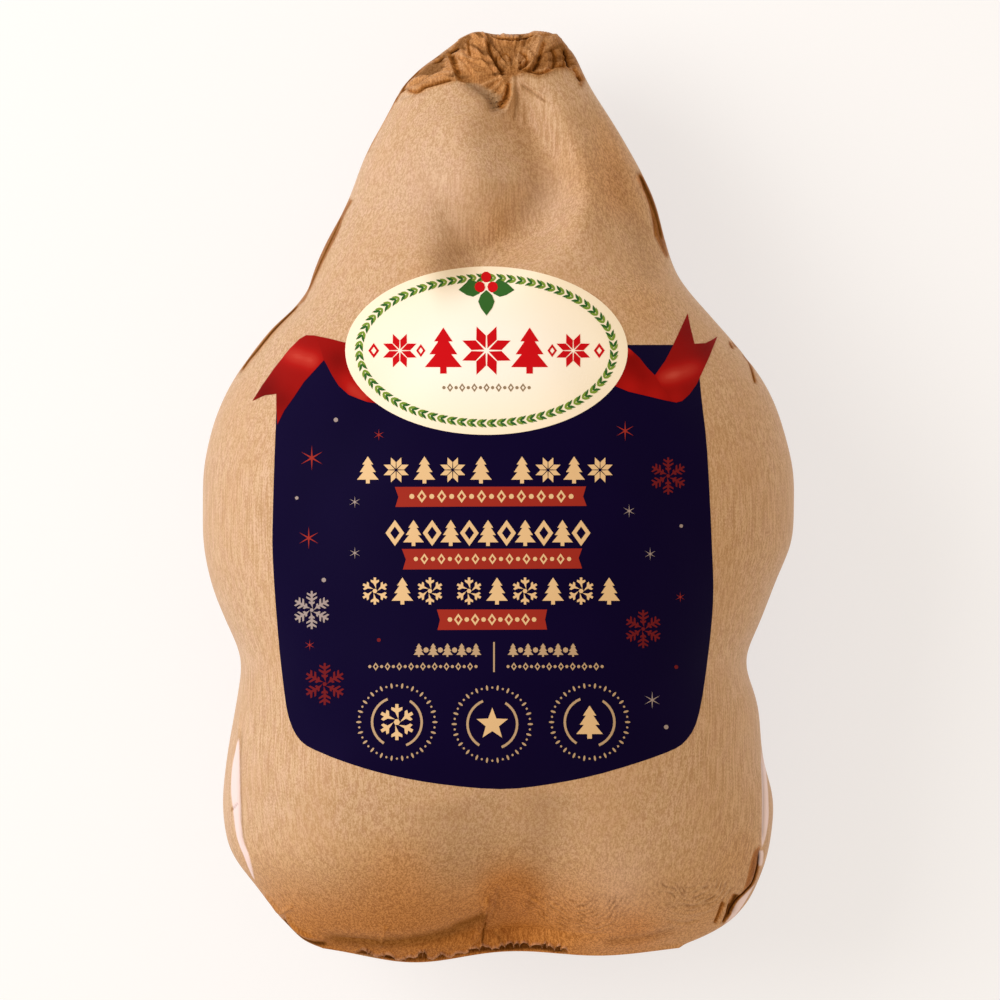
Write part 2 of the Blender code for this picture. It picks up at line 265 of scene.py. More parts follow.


# Creases of the film, in groups by their height above the table: a line through the picture, the height that
# it adds (below zero for a groove), its half width, how much painted shade lies in it, and FOLD where the
# film laps over to one side of the line
SILHOUETTE = 62.0
FOLD = "one-sided"
CREASES = {
    70.0: (  # the gathered end
        ("404,84 408,88 416,91 426,86 441,82 456,78", -0.92, 0.7, 0.75),
        ("447,52 452,66 456,80", 1.49, 0.9, 0.0, FOLD),
        ("450,50 455,64 459,76", -1.15, 1.2, 0.75),
        ("454,70 466,79 476,87 489,96 503,114", -1.7, 3.0, 0.45),
        ("455,80 470,87 482,96 494,107", 0.57, 1.2, 0.0),
        ("484,32 486,50 493,64 502,80 508,84", 1.38, 0.6, 0.0),
        ("488,34 490,50 497,64 505,78", -1.03, 0.8, 0.75),
        ("475,42 481,58 489,70 498,82", 0.8, 0.6, 0.0),
        ("467,33 468,46 471,56", -0.8, 0.5, 0.6),
        ("461,40 462,52 468,64 478,76", 0.69, 0.7, 0.0),
        ("455,56 464,66 474,80", 0.57, 0.5, 0.15),
        ("488,33 497,40 513,42 529,39 540,33", 1.03, 0.7, 0.0),
        ("490,31 500,36 513,38 529,35 538,30", -0.9, 0.55, 0.8),
        ("497,53 496,62 505,72", -0.92, 0.6, 0.68),
        ("495,62 496,54 502,49 510,49 515,56 513,65 507,70", 0.6, 0.5, 0.0),
        ("500,63 500,56 506,53 510,58 507,64", -0.6, 0.5, 0.5),
        ("504,60 508,66 511,71", 0.5, 0.4, 0.0),
        ("517,60 518,66 517,72", 0.8, 0.4, 0.0),
        ("520,61 521,66 519,71", -0.6, 0.4, 0.7),
        ("515,47 526,50 532,60 529,69 519,73", 1.15, 0.7, 0.0),
        ("519,51 526,56 526,65 518,69", -0.92, 0.6, 0.75),
        ("541,33 537,48 534,60 527,71", 1.03, 0.7, 0.0),
        ("546,36 541,50 538,62 531,73", -1.03, 0.9, 0.9),
        ("551,44 556,57 553,69", -0.92, 0.9, 0.75),
        ("562,42 565,54 564,68", -0.57, 0.7, 0.6),
        ("546,50 548,62 545,72", 0.57, 0.6, 0.0),
        ("560,44 563,56 561,68", 0.57, 0.6, 0.0),
        ("567,42 569,55 571,67", -1.49, 0.8, 1.0),
        ("570,69 556,69 548,74 539,77 527,74 514,73", 1.38, 0.9, 0.0, FOLD),
        ("570,66 557,66 548,71 539,74 528,71 517,70", -0.57, 0.8, 0.68),
        ("573,64 577,71 583,80", -1.15, 0.8, 0.9),
        ("512,73 513,85 511,97 505,114", 1.15, 0.7, 0.0),
        ("508,80 507,96 500,110", -0.92, 0.8, 0.6),
        ("516,77 521,90 523,106 522,128", 0.52, 0.7, 0.0),
        ("519,80 533,89 549,98", 0.46, 0.5, 0.0),
        ("520,84 535,95 548,104", -0.4, 0.5, 0.3),
        ("517,84 530,102 540,124", 0.4, 0.8, 0.0),
        ("514,84 517,100 514,124", -0.4, 0.8, 0.3),
        ("385,104 395,92 407,86", -0.57, 0.6, 0.75),
        ("398,100 412,96 425,95", 0.34, 0.5, 0.15),
        ("404,85 418,76 432,64 440,56", 0.52, 0.6, 0.0),
        ("412,84 426,76 440,66 447,60", -0.46, 0.5, 0.3),
        ("418,86 432,80 450,74", 0.46, 0.5, 0.0),
        ("424,87 438,82 452,79", -0.4, 0.5, 0.45),
        ("432,60 438,57 443,52", -0.92, 0.9, 0.9),
        ("448,50 454,46 458,43", -1.03, 0.9, 1.0),
    ),
    SILHOUETTE: (  # the upper left pocket, the right neck and the strips of clear film, with painted shade along the lines
        ("304,300 293,311 281,323 270,335 258,350 247,363 238,378", -0.3, 0.8, 1.0),
        ("345,206 335,232 324,256 313,280 304,300", -0.2, 0.7, 0.7),
        ("450,47 437,54 424,62 408,80 396,96 384,115 372,138 362,160", -0.15, 0.6, 0.85),
        ("637,168 646,186 655,208 661,232 663,246", -0.3, 1.2, 0.9),
        ("641,180 649,200 654,222 656,244", -0.4, 0.6, 0.5),
        ("728,342 732,350", -0.3, 0.5, 0.6),
        ("732,341 736,348", -0.3, 0.5, 0.6),
        ("741,353 748,361 751,372 754,387", -0.3, 0.5, 0.8),
        ("243,700 241,735 239,762 241,799 243,836 250,856 256,880", 0.4, 0.5, 0.0),
        ("245,720 243,760 244,800 246,834 252,852", -0.3, 0.6, 0.25),
        ("761,754 762,780 762,810 761,842", -0.4, 0.5, 0.35),
        ("764,862 755,890 745,906 731,926 722,931", -0.1, 0.4, 0.6),
        ("232,809 237,804 242,799", -0.3, 0.4, 0.35),
    ),
    95.0: (  # hollows, painted shade only, with no height
        ("514,92 518,112 523,132 531,160 535,188 518,216 486,241 442,261 412,276", 0.0, 5.0, 0.14),
        ("504,232 474,247 444,260", 0.0, 6.5, 0.12),
        ("612,150 622,185 632,215 645,250 655,290", 0.0, 4.5, 0.13),
        ("552,780 540,840 526,900", 0.0, 12.0, 0.14),
        ("452,790 462,840 476,890", 0.0, 20.0, 0.12),
    ),
    84.0: (  # the flap and the pocket at the lower right
        ("760,845 759,864 754,883 746,892 737,901 729,916 723,926", -0.4, 0.6, 1.0),
        ("738,893 733,904 730,915", -0.5, 1.4, 0.85),
        ("726,898 723,911 718,929", 0.9, 0.6, 0.0),
        ("730,902 728,914 723,926", -0.5, 0.7, 0.9),
        ("723,899 719,912 714,926", -0.4, 0.5, 0.6),
        ("674,899 686,905 703,902 716,893", -0.3, 0.5, 0.15),
        ("668,907 684,913 704,910 718,902", 0.25, 0.5, 0.0),
        ("664,917 682,922 700,919", -0.3, 0.6, 0.15),
    ),
    75.0: (  # the seam end
        ("312,936 345,940 379,942 409,940 439,934 458,928 478,919 490,909", -0.9, 3.2, 0.48),
        ("330,938 362,939 384,942 409,939 434,935", -0.3, 0.5, 0.4),
        ("452,929 468,923 480,917 489,908", -0.6, 2.2, 0.5),
        ("489,891 485,912 478,933 467,947", 1.1, 0.8, 0.0),
        ("486,906 480,926 472,940", 0.4, 0.5, 0.0),
        ("487,919 484,930 482,946", -0.6, 0.4, 0.75),
        ("497,926 505,934 509,945", 0.5, 0.6, 0.0),
        ("493,930 499,937 503,945", -0.5, 0.7, 0.4),
        ("388,922 384,934 381,948", 0.7, 0.6, 0.0),
        ("528,884 527,896 525,910", 0.3, 0.5, 0.0),
        ("532,880 531,896 530,912", -0.3, 0.6, 0.15),
        ("500,880 497,900 490,925", -0.4, 0.9, 0.2),
        ("264,892 272,902 280,912 288,908 296,903", 0.8, 0.7, 0.0),
        ("287,911 290,921 299,931 314,938", 0.8, 0.7, 0.0),
        ("283,914 286,924 295,935 309,942 332,945", -0.4, 1.1, 0.8),
        ("600,940 640,936 680,926", -0.4, 1.6, 0.2),
    ),
}
# Outlines of amber film, gathered and doubled at the ends, and of valleys and pockets whose amber and dark
# are painted shade:
# how amber, how much painted shade and how soft the edge is; and outlines of clear film, with the skin behind
# it
AMBER_AND_SHADE_HEIGHT, BARE_HEIGHT, BARE_EDGE = 76.0, 80.0, 0.15
AMBER_AND_SHADE_PATCHES = (
    ("512,90 535,130 541,160 540,195 516,230 474,258 424,280 412,270 448,242 500,208 520,180 518,150 "
     "504,110", 0.16, 0.0, 4.0),
    ("360,140 385,104 407,86 416,92 441,83 456,80 452,66 446,40 415,50 350,130", 0.55, 0.0, 0.7),
    ("447,30 452,66 456,79 474,82 488,88 501,95 510,83 513,77 527,75 539,78 556,71 573,70 584,82 600,0 "
     "447,0", 0.6, 0.04, 1.0),
    ("486,37 494,60 505,80 513,77 527,75 539,78 556,71 573,70 584,82 600,0 540,33 513,42", 0.6, 0.36, 1.2),
    ("441,48 447,55 452,68 456,79 466,82 458,66 452,50 458,40", 0.7, 0.5, 1.2),
    ("458,80 474,84 488,94 503,114 494,82 488,68 476,64 474,76", 0.12, 0.34, 3.0),
    ("352,200 344,214 338,232 329,250 319,270 309,291 303,302 290,304 305,262 320,225 340,190",
     0.9, 0.4, 0.5),
    ("641,166 643,177 648,194 652,215 655,232 660,246 668,257 674,240 664,196 648,160", 0.9, 0.45, 1.2),
    ("308,297 290,315 262,347 238,378 232,378 255,345 290,305", 0.2, 0.0, 0.5),
    ("759,846 759,866 755,883 747,891 737,901 730,916 724,924 722,914 731,908 739,896 745,882 749,866 "
     "753,852", 1.0, 0.3, 1.0),
    ("283,914 300,926 330,939 362,941 384,943 409,942 439,937 458,931 478,922 488,914 488,970 320,960 "
     "275,918", 0.85, 0.0, 0.7),
)
BARE = (
    "240,738 233,762 231,788 233,808 237,836 245,857 254,880 250,855 243,836 241,799 240,762",
    "762,750 766,762 768,780 769,800 769,820 766,838 762,846 762,830 762,800 762,770",
    "759.5,850 764,853 763,866 759,864",
    "757,884 748,892 738,902 731,916 722,930 728,928 735,918 744,905 753,890",
)


def inside(x, y, outline):
    """Whether each point lies inside a closed outline."""
    odd = np.zeros(x.shape, dtype=bool)
    for (ax, ay), (bx, by) in zip(outline, np.roll(outline, -1, axis=0)):
        if ay != by:
            odd ^= ((ay > y) != (by > y)) & (x < ax + (bx - ax) * (y - ay) / (by - ay))
    return odd


def close_to(x, y, line, reach):
    """Which points lie within reach of the box round a line."""
    low, high = line.min(axis=0) - reach, line.max(axis=0) + reach
    return (x > low[0]) & (x < high[0]) & (y > low[1]) & (y < high[1])


def inside_softly(x, y, outline, edge):
    """1 inside an outline, 0 outside, with a soft edge of that half width."""
    share = np.zeros(x.shape)
    near = close_to(x, y, outline, edge)
    if near.any():
        distance = off_line(x[near], y[near], np.vstack((outline, outline[:1])))[0]
        share[near] = ease(np.where(inside(x[near], y[near], outline), distance, -distance), -edge, edge)
    return share


def noise_at(*places):
    """Noise at points whose three coordinates are arrays or numbers."""
    at = np.broadcast_arrays(*places)
    return np.array([noise.noise(point) for point in zip(*(c.ravel() for c in at))]).reshape(at[0].shape)


HUB, HUB_HEIGHT = (512, 73), 70.0  # where the gathers meet, in the picture, and its height
GATHERS_FROM = 142.0  # they begin this far from the middle of the pack
GATHERS = ((2.6, 20.0, 0.8), (6.0, 10.0, 0.6), (13.0, 8.0, 0.55))  # closeness of the folds, length, height


def gathers(x, y):
    """Folds that run in to the hub: their height, and how deep and how proud they are, for painted shade in
    the hollows and a painted highlight on the crests.
    """
    hub_x, hub_y = on_plan(HUB, HUB_HEIGHT)
    turn, reach = np.arctan2(y - hub_y, x - hub_x), np.hypot(x - hub_x, y - hub_y)
    height = sum(amount * noise_at(folds * turn, reach / length, folds) for folds, length, amount in GATHERS)
    height = (height - 0.4 * np.abs(noise_at(20.0 * turn, reach / 6.0, 9.0))) * ease(reach, 0.0, 5.0)
    return height, ease(-height, 0.05, 0.45), ease(height, 0.1, 0.5)


# The crimp of the seam: a row of small arches of film over hollows, along this line, with painted shade in
# the hollows and a painted highlight on the rims
CRIMP = path(
    "354,948.5 379,953 409,955 439,953 468,947.5 498,945 518,944 538,944 557,947 570,951.5"
)
CRIMP_HEIGHT, ARCH = 57.0, 2.9


def crimp(x, y):
    """Height, painted shade and painted highlight of the seam's row of arches."""
    height, shade, painted_highlight = (np.zeros(x.shape) for _ in range(3))
    line = smooth_line(on_plan(CRIMP, CRIMP_HEIGHT))
    near = close_to(x, y, line, 3.0)
    if near.any():
        distance, side, along = off_line(x[near], y[near], line)
        run = along * np.hypot(*np.diff(line, axis=0).T).sum()
        wander, swell = noise_at(run / 3.7, 0.0, 0.5), noise_at(run / 3.7, 4.0, 0.5)
        wild = 1.0 + 0.9 * ease(-x[near], 0.0, 12.0)
        arch = np.abs(np.sin(math.pi * (run / ARCH + 0.8 * wild * wander))) ** 0.6
        arch *= 1.7 + 1.6 * wild * swell
        inward = distance * side
        ends = ease(along, 0.0, 0.05) * ease(1.0 - along, 0.0, 0.05)
        hollow = ease(arch - inward, 0.1, 0.55) * ease(inward, -1.0, -0.5)
        height[near] = (0.9 * bell(inward, arch, 0.45) - 1.2 * hollow) * ends
        painted_highlight[near] = 0.18 * bell(inward, arch + 0.1, 0.35) * ends
        shade[near] = 0.68 * hollow * ends
    return height, shade, painted_highlight


# Fine wrinkles nested under the two bulges of the neck end: the middle in the picture and the reach in mm
WHORLS = (((577, 890), 23.0), ((690, 876), 19.0))
WHORL_HEIGHT, WRINKLE_PITCH = 80.0, 2.0


def wrinkles(x, y):
    """Height of the fine wrinkles that curve round below each bulge, and painted shade in their troughs."""
    height, shade = np.zeros(x.shape), np.zeros(x.shape)
    for middle, reach in WHORLS:
        at_x, at_y = on_plan(middle, WHORL_HEIGHT)
        distance = np.hypot(x - at_x, 1.25 * (y - at_y))
        near = (distance < reach) & (y < at_y + 2.0)
        if near.any():
            r, below = distance[near], at_y + 2.0 - y[near]
            stray = noise_at(x[near] / 6.0, y[near] / 6.0, 3.0)
            broken = ease(noise_at(x[near] / 3.5, y[near] / 2.0, 7.0), -0.4, 0.3)
            fade = ease(r, 1.0, 5.0) * ease(reach - r, 0.0, 8.0) * ease(below, 0.0, 5.0) * broken
            wave = np.sin(2.0 * math.pi * (r + 3.0 * stray) / WRINKLE_PITCH)
            height[near] += 0.2 * wave * fade
            shade[near] += 0.34 * ease(-wave, 0.0, 1.0) * fade
    return height, shade


# Places of the picture where shade is painted as more amber and highlights are painted as paler film: the
# reach of each in millimetres, how much more amber and how much paler
TINT_HEIGHT = 88.0
TINTS = (
    ((428, 186), 18.0, 0.0, 0.13), ((548, 198), 9.0, 0.0, 0.12), ((448, 238), 9.0, 0.0, 0.04),
    ((622, 880), 12.0, 0.0, 0.13), ((602, 168), 17.0, 0.24, 0.0), ((642, 300), 12.0, 0.26, 0.0),
    ((500, 238), 9.0, 0.22, 0.0), ((402, 852), 15.0, 0.22, 0.0), ((508, 886), 14.0, 0.16, 0.0),
    ((640, 932), 11.0, 0.2, 0.0), ((745, 850), 10.0, 0.22, 0.0), ((610, 205), 10.0, 0.14, 0.0),
)


def patch(x, y, above, text, level, edge, steep=1.0):
    """A soft patch inside an outline, weaker and with thin ends where it lies on the steep side."""
    outline = path(text)
    along = on_plan(outline, level)[:, 1]
    thin = ease(y, along.min(), along.min() + 8.0) * ease(along.max() - y, 0.0, 8.0)
    soft = inside_softly(x, y, smooth_line(on_plan(outline + outline[:1], level))[:-1], edge)
    return soft * (above + (1.0 - above) * steep * thin)


def film_creases(x, y, up):
    """Height, painted shade, amber, and the paleness of skin and painted highlights of the film at points in
    plan, on its upper side only.
    """
    height, shade, amber, bare = (np.zeros(x.shape) for _ in range(4))
    front = ease(up + 0.07 * noise_at(y / 6.0, 0.0, 1.5), -0.06, 0.12)
    above = ease(up, 0.0, 0.3)
    for level, creases in CREASES.items():
        for text, rise, width, dark, *fold in creases:
            line = smooth_line(on_plan(path(text), level))
            near = close_to(x, y, line, 5.0 * width)
            if not near.any():
                continue
            distance, side, along = off_line(x[near], y[near], line)
            fade = ease(along, 0.0, 0.15) * ease(1.0 - along, 0.0, 0.15) * front[near]
            form = bell(distance, 0.0, 0.4 * width if fold else width)
            if fold:
                form = np.where(side > 0.0, np.exp(-distance / (2.5 * width)), form)
            height[near] += rise * form * fade
            # Painted shade along the crease, and painted warmth round the narrow dark creases
            seen = fade * (0.5 + 0.5 * above[near]) if level == SILHOUETTE else fade
            shade[near] = np.maximum(shade[near], dark * bell(distance, 0.0, 0.9 * width) * seen)
            shade_warmth = 0.9 * ease(dark, 0.15, 0.6) * ease(3.2 - width, 0.0, 1.2) * fade
            amber[near] = np.maximum(amber[near], shade_warmth * bell(distance, 0.0, 1.8 * width))
    # Amber of gathered and doubled film, with painted shade in valleys and pockets
    for text, amber_and_shade_tint, dark, edge in AMBER_AND_SHADE_PATCHES:
        soft = patch(x, y, above, text, AMBER_AND_SHADE_HEIGHT, edge, 0.7) * front
        amber, shade = np.maximum(amber, amber_and_shade_tint * soft), np.maximum(shade, dark * soft)
    for text in BARE:
        bare = np.maximum(bare, patch(x, y, above, text, BARE_HEIGHT, BARE_EDGE) * front)
    # Amber along the seam, most in its middle (crinkled film, and painted shade where the end turns from the
    # light), painted shade as amber towards the right side, and amber on the under side of the gathered end
    seam_and_shaded_side_amber = np.maximum(0.7 * ease(-y, 110.0, 158.0), 0.85 * ease(-y, 108.0, 154.0) * bell(x, 5.0, 24.0))
    seam_and_shaded_side_amber = np.maximum(seam_and_shaded_side_amber * (1.0 - 0.4 * ease(x, 20.0, 60.0)), 0.13 * ease(x, 40.0, 100.0))
    seam_and_shaded_side_amber = seam_and_shaded_side_amber * (0.4 + 0.6 * front) + 0.65 * ease(y, 148.0, 158.0) * (1.0 - front)
    amber = np.maximum.reduce((amber, seam_and_shaded_side_amber, relief(x, y)[1] * front))
    # Painted shade as extra amber, and painted highlights as paler film
    for place, reach, amber_and_shade_tint, painted_highlight in TINTS:
        at_x, at_y = on_plan(place, TINT_HEIGHT)
        blot = bell(np.hypot(x - at_x, y - at_y), 0.0, reach) * front
        amber, bare = amber + amber_and_shade_tint * blot, bare + painted_highlight * blot
    # Painted shade towards the seam end, left of the middle
    shade = np.maximum(shade, 0.1 * ease(-y, 126.0, 150.0) * ease(14.0 - x, 0.0, 16.0) * front)
    rise, hollow, painted_highlight = crimp(x, y)
    wavy, line_shade = wrinkles(x, y)
    height += (rise + wavy) * front
    shade = np.maximum.reduce((shade, hollow * front, line_shade * front))
    return height, shade, amber, np.maximum(bare, painted_highlight * front)


def film_piece(name, places, points_round, joined):
    """One length of the filled bag. A joined end, first or last, is cut flat where it meets the next length,
    and its normals run on. An open end is pressed shut."""
    step = 2.0 * math.pi / points_round
    cuts = zip(joined, (places[0], places[-1]), (places[1], places[-2]))
    beyond = [2 * end - inner if on else end for on, end, inner in cuts]
    angle, place = np.meshgrid(
        np.arange(points_round) * step - 0.5 * math.pi, np.concatenate((beyond[:1], places, beyond[1:]))
    )
    x, y, z = bird(place, angle)
    round_it = np.stack(bird(place, angle + 0.004)) - np.stack(bird(place, angle - 0.004))
    along_it = np.stack(bird(place + 0.03, angle)) - np.stack(bird(place - 0.03, angle))
    normal = np.cross(along_it, round_it, axis=0)
    normal /= np.maximum(np.linalg.norm(normal, axis=0), 1e-9)
    height, shade, amber, bare = film_creases(x, y, np.sin(angle))
    rough = (amber > 0.05) & (y > GATHERS_FROM) & (place < GATHER_PLACE + 0.9)
    points = np.stack((x, y, z), axis=-1)
    folds, hollow, crest = gathers(x[rough], y[rough])
    loose = ease(amber[rough], 0.15, 0.45) * ease(np.abs(np.sin(angle[rough])), 0.05, 0.4)
    height[rough] += loose * folds
    # Painted shade in the hollows of the gathers, and a painted highlight on their crests
    shade[rough] = np.maximum(shade[rough], 0.6 * loose * hollow)
    amber[rough] *= 1.0 - 0.2 * loose * crest
    shade[rough] *= 1.0 - 0.7 * loose * crest
    points += np.moveaxis(normal * height, 0, -1)
    points[..., 2] = np.maximum(points[..., 2], 0.0)
    along_it = points[2:] - points[:-2]
    round_it = (np.roll(points, -1, axis=1) - np.roll(points, 1, axis=1))[1:-1]
    normal = np.cross(along_it, round_it)
    normal /= np.maximum(np.linalg.norm(normal, axis=-1, keepdims=True), 1e-9)
    corners = points[1:-1].reshape(-1, 3) * MM

    rings = len(places)
    index = np.arange(rings * points_round).reshape(rings, points_round)
    after = np.roll(index, -1, axis=1)
    sides = np.stack((index[:-1], index[1:], after[1:], after[:-1]), axis=-1).reshape(-1, 4)
    values = {"shade": shade, "amber": amber, "bare": bare}
    values = {label: value[1:-1].reshape(-1) for label, value in values.items()}
    ends = []
    for is_joined, ring, turn in zip(joined, (index[0], index[-1]), (1, -1)):
        if is_joined:
            centre = len(corners)
            corners = np.vstack((corners, corners[ring].mean(axis=0)))
            ends += [(centre, a, b)[::turn] for a, b in zip(ring.tolist(), np.roll(ring, -1).tolist())]
            values = {label: np.append(value, 0.0) for label, value in values.items()}
        else:
            half = points_round // 2
            for i in range(points_round // 4, 3 * points_round // 4):
                loop = (i, i + 1, (half - i - 1) % points_round, (half - i) % points_round)
                ends.append(tuple(int(ring[k]) for k in dict.fromkeys(loop[::turn])))
    mesh = bpy.data.meshes.new(name)
    mesh.from_pydata(corners.tolist(), [], sides.tolist() + ends)
    for label, value in values.items():
        mesh.attributes.new(label, "FLOAT", "POINT").data.foreach_set("value", value.astype(np.float32))
    mesh.shade_smooth()
    mesh.polygons.foreach_set("use_smooth", [True] * len(sides) + [False] * len(ends))
    no_normal = [(0.0, 0.0, 0.0)] * sum(len(face) for face in ends)
    mesh.normals_split_custom_set(normal.reshape(-1, 3)[sides.reshape(-1)].tolist() + no_normal)
    piece = bpy.data.objects.new(name, mesh)
    bpy.context.scene.collection.objects.link(piece)
    return piece


SEAM_END, WINGS_END, THIGHS_END, GATHER_START = 10.0, 36.0, 62.0, 88.0
seam_lip = np.linspace(SEAM_PLACE - 1.0, SEAM_PLACE, 9)
gather_turn = np.linspace(GATHER_PLACE, GATHER_PLACE + 1.0, 40)
seam_run = (SEAM_END - SEAM_PLACE) * np.linspace(0.0, 1.0, 77) ** 1.3
seam_places = np.append(seam_lip[:-1], SEAM_PLACE + seam_run)
gather_places = np.append(np.linspace(GATHER_START, GATHER_PLACE, 130)[:-1], gather_turn)
film = (
    film_piece("film_seam_end", seam_places, 1100, (False, True)),
    film_piece("film_wings", np.linspace(SEAM_END, WINGS_END, 126), 780, (True, True)),
    film_piece("film_thighs", np.linspace(WINGS_END, THIGHS_END, 110), 780, (True, True)),
    film_piece("film_legs", np.linspace(THIGHS_END, GATHER_START, 126), 780, (True, True)),
    film_piece("film_gathered_end", gather_places, 540, (True, False)),
)
for piece in film:
    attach(piece, "root")
    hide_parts("wrapped_turkey")


# The printed film's finish
# Kraft-look print on satin shrink film. Fine fibres run lengthwise, drawn coarser than the real 0.4 mm ones
# so that they show. Gathered and doubled film is more orange and clear film shows skin; painted shade darkens
# and warms hollows, creases and pockets, and painted highlights pale a few crests.
def add(tree, kind, sockets=None, **settings):
    """A node with its settings; sockets gives an input's value, or the output that is linked to it."""
    made = tree.nodes.new(kind)
    for name, value in settings.items():
        setattr(made, name, value)
    for name, value in (sockets or {}).items():
        if isinstance(value, bpy.types.NodeSocket):
            tree.links.new(value, made.inputs[name])
        else:
            made.inputs[name].default_value = value
    return made


def colour(code):
    """An sRGB hex colour as linear red, green, blue and full alpha."""
    parts = [int(code[i : i + 2], 16) / 255.0 for i in (1, 3, 5)]
    return [p / 12.92 if p <= 0.04045 else ((p + 0.055) / 1.055) ** 2.4 for p in parts] + [1.0]


def mix(tree, share, first, second, **settings):
    """The output of a mix of two colours, each a hex code or an output."""
    first, second = (colour(value) if isinstance(value, str) else value for value in (first, second))
    sockets = {0: share, 6: first, 7: second}
    return add(tree, "ShaderNodeMix", sockets, data_type="RGBA", **settings).outputs[2]


def spread(tree, value, start, end, low, high):
    """The output that runs from low to high while the value runs from start to end."""
    return add(tree, "ShaderNodeMapRange", {0: value, 1: start, 2: end, 3: low, 4: high}).outputs[0]


def ramp(tree, value, *stops):
    """The output of a colour ramp with these positions and codes."""
    made = add(tree, "ShaderNodeValToRGB", {0: value})
    elements = made.color_ramp.elements
    for element, (position, code) in zip(elements, (stops[0], stops[-1])):
        element.position, element.color = position, colour(code)
    for position, code in stops[1:-1]:
        elements.new(position).color = colour(code)
    return made.outputs[0]


def grain_in(tree, place, width, length, detail, **sockets):
    """Noise drawn out along the pack, of that width and length in metres."""
    stretch = (1.0 / width, 1.0 / length, 1.0 / width)
    stretched = add(tree, "ShaderNodeVectorMath", {0: place, 1: stretch}, operation="MULTIPLY").outputs[0]
    sockets = {"Vector": stretched, "Scale": 1.0, "Detail": detail, **sockets}
    return add(tree, "ShaderNodeTexNoise", sockets).outputs[0]


def fresh_material(name):
    """A material, its node tree and its shader."""
    made = bpy.data.materials.new(name)
    made.use_nodes = True
    return made, made.node_tree, made.node_tree.nodes["Principled BSDF"]


FIBRE = (0.42 * MM, 0.75 * MM, 2.0)  # width, length and detail
STRAND = (0.75 * MM, 15.0 * MM, 2.0)
CLOUD = (3.2 * MM, 8.0 * MM, 1.0)

satin_film, tree, shader = fresh_material("satin_kraft_print_film")
in_space = add(tree, "ShaderNodeTexCoord").outputs["Object"]
amber_at, skin_and_highlight_at, shade_at = (
    add(tree, "ShaderNodeAttribute", attribute_name=name).outputs["Fac"]
    for name in ("amber", "bare", "shade")
)
fibres = grain_in(tree, in_space, *FIBRE, Distortion=spread(tree, amber_at, 0.0, 1.0, 0.1, 0.6))
strands = grain_in(tree, in_space, *STRAND, Distortion=0.25)
clouds = grain_in(tree, in_space, *CLOUD)
mottle = add(tree, "ShaderNodeTexNoise", {"Vector": in_space, "Scale": 45.0, "Detail": 3.0}).outputs[0]
weave = add(tree, "ShaderNodeMix", {0: 0.48, 2: fibres, 3: strands}).outputs[0]
paler = spread(tree, weave, 0.42, 0.58, 0.0, 1.0)
hues = ramp(tree, clouds, (0.36, "#c9a983"), (0.45, "#cbaa83"), (0.55, "#cca88b"), (0.64, "#cfab91"))
printed_tan = mix(tree, 0.35, mix(tree, paler, "#b08a69", "#dec1a7"), hues)
mottled = mix(tree, spread(tree, mottle, 0.4, 0.65, 0.0, 0.3), printed_tan, "#c79f78")
# Amber of gathered film, also the painted warmth of shade
amber_and_shade_tint = ramp(tree, amber_at, (0.2, "#d3a36b"), (0.6, "#d4934e"), (1.0, "#c47e35"))
amber_and_shade_colour = mix(tree, 1.0, amber_and_shade_tint, mix(tree, paler, "#c6b79a", "#ffffff"), blend_type="MULTIPLY")
film_colour = mix(tree, spread(tree, amber_at, 0.0, 0.7, 0.0, 0.95), mottled, amber_and_shade_colour)
# Pale pink for skin and painted highlights, then dark brown for painted shade
film_colour = mix(tree, shade_at, mix(tree, skin_and_highlight_at, film_colour, "#f0dce0"), "#2c1003")
tree.links.new(film_colour, shader.inputs["Base Color"])
shader.inputs["Roughness"].default_value = 0.48
tree.links.new(spread(tree, shade_at, 0.0, 0.5, 0.1, 0.0), shader.inputs["Specular IOR Level"])
grain = add(tree, "ShaderNodeBump", {"Strength": 0.3, "Distance": 0.00008, "Height": fibres})
tree.links.new(grain.outputs[0], shader.inputs["Normal"])
for piece in film:
    piece.data.materials.append(satin_film)


# The printed panel
# One field of navy ink across the breast, printed on the film before it shrank, so it follows every curve.
# Each ink is a thin skin of its own here. The artwork is drawn flat in pixels of the picture, and then laid
# on the film along the camera's rays. The same nodes lay all the print.
def resampled(loop, step):
    """A closed outline with points no further apart than the step."""
    ends = np.roll(loop, -1, axis=0)
    parts = [max(1, math.ceil(np.hypot(*(b - a)) / step)) for a, b in zip(loop, ends)]
    return np.vstack([a + (b - a) * np.arange(n)[:, None] / n for a, b, n in zip(loop, ends, parts)])


SLIVER = 0.001  # a triangle is dropped when its doubled area is under this share of a step squared


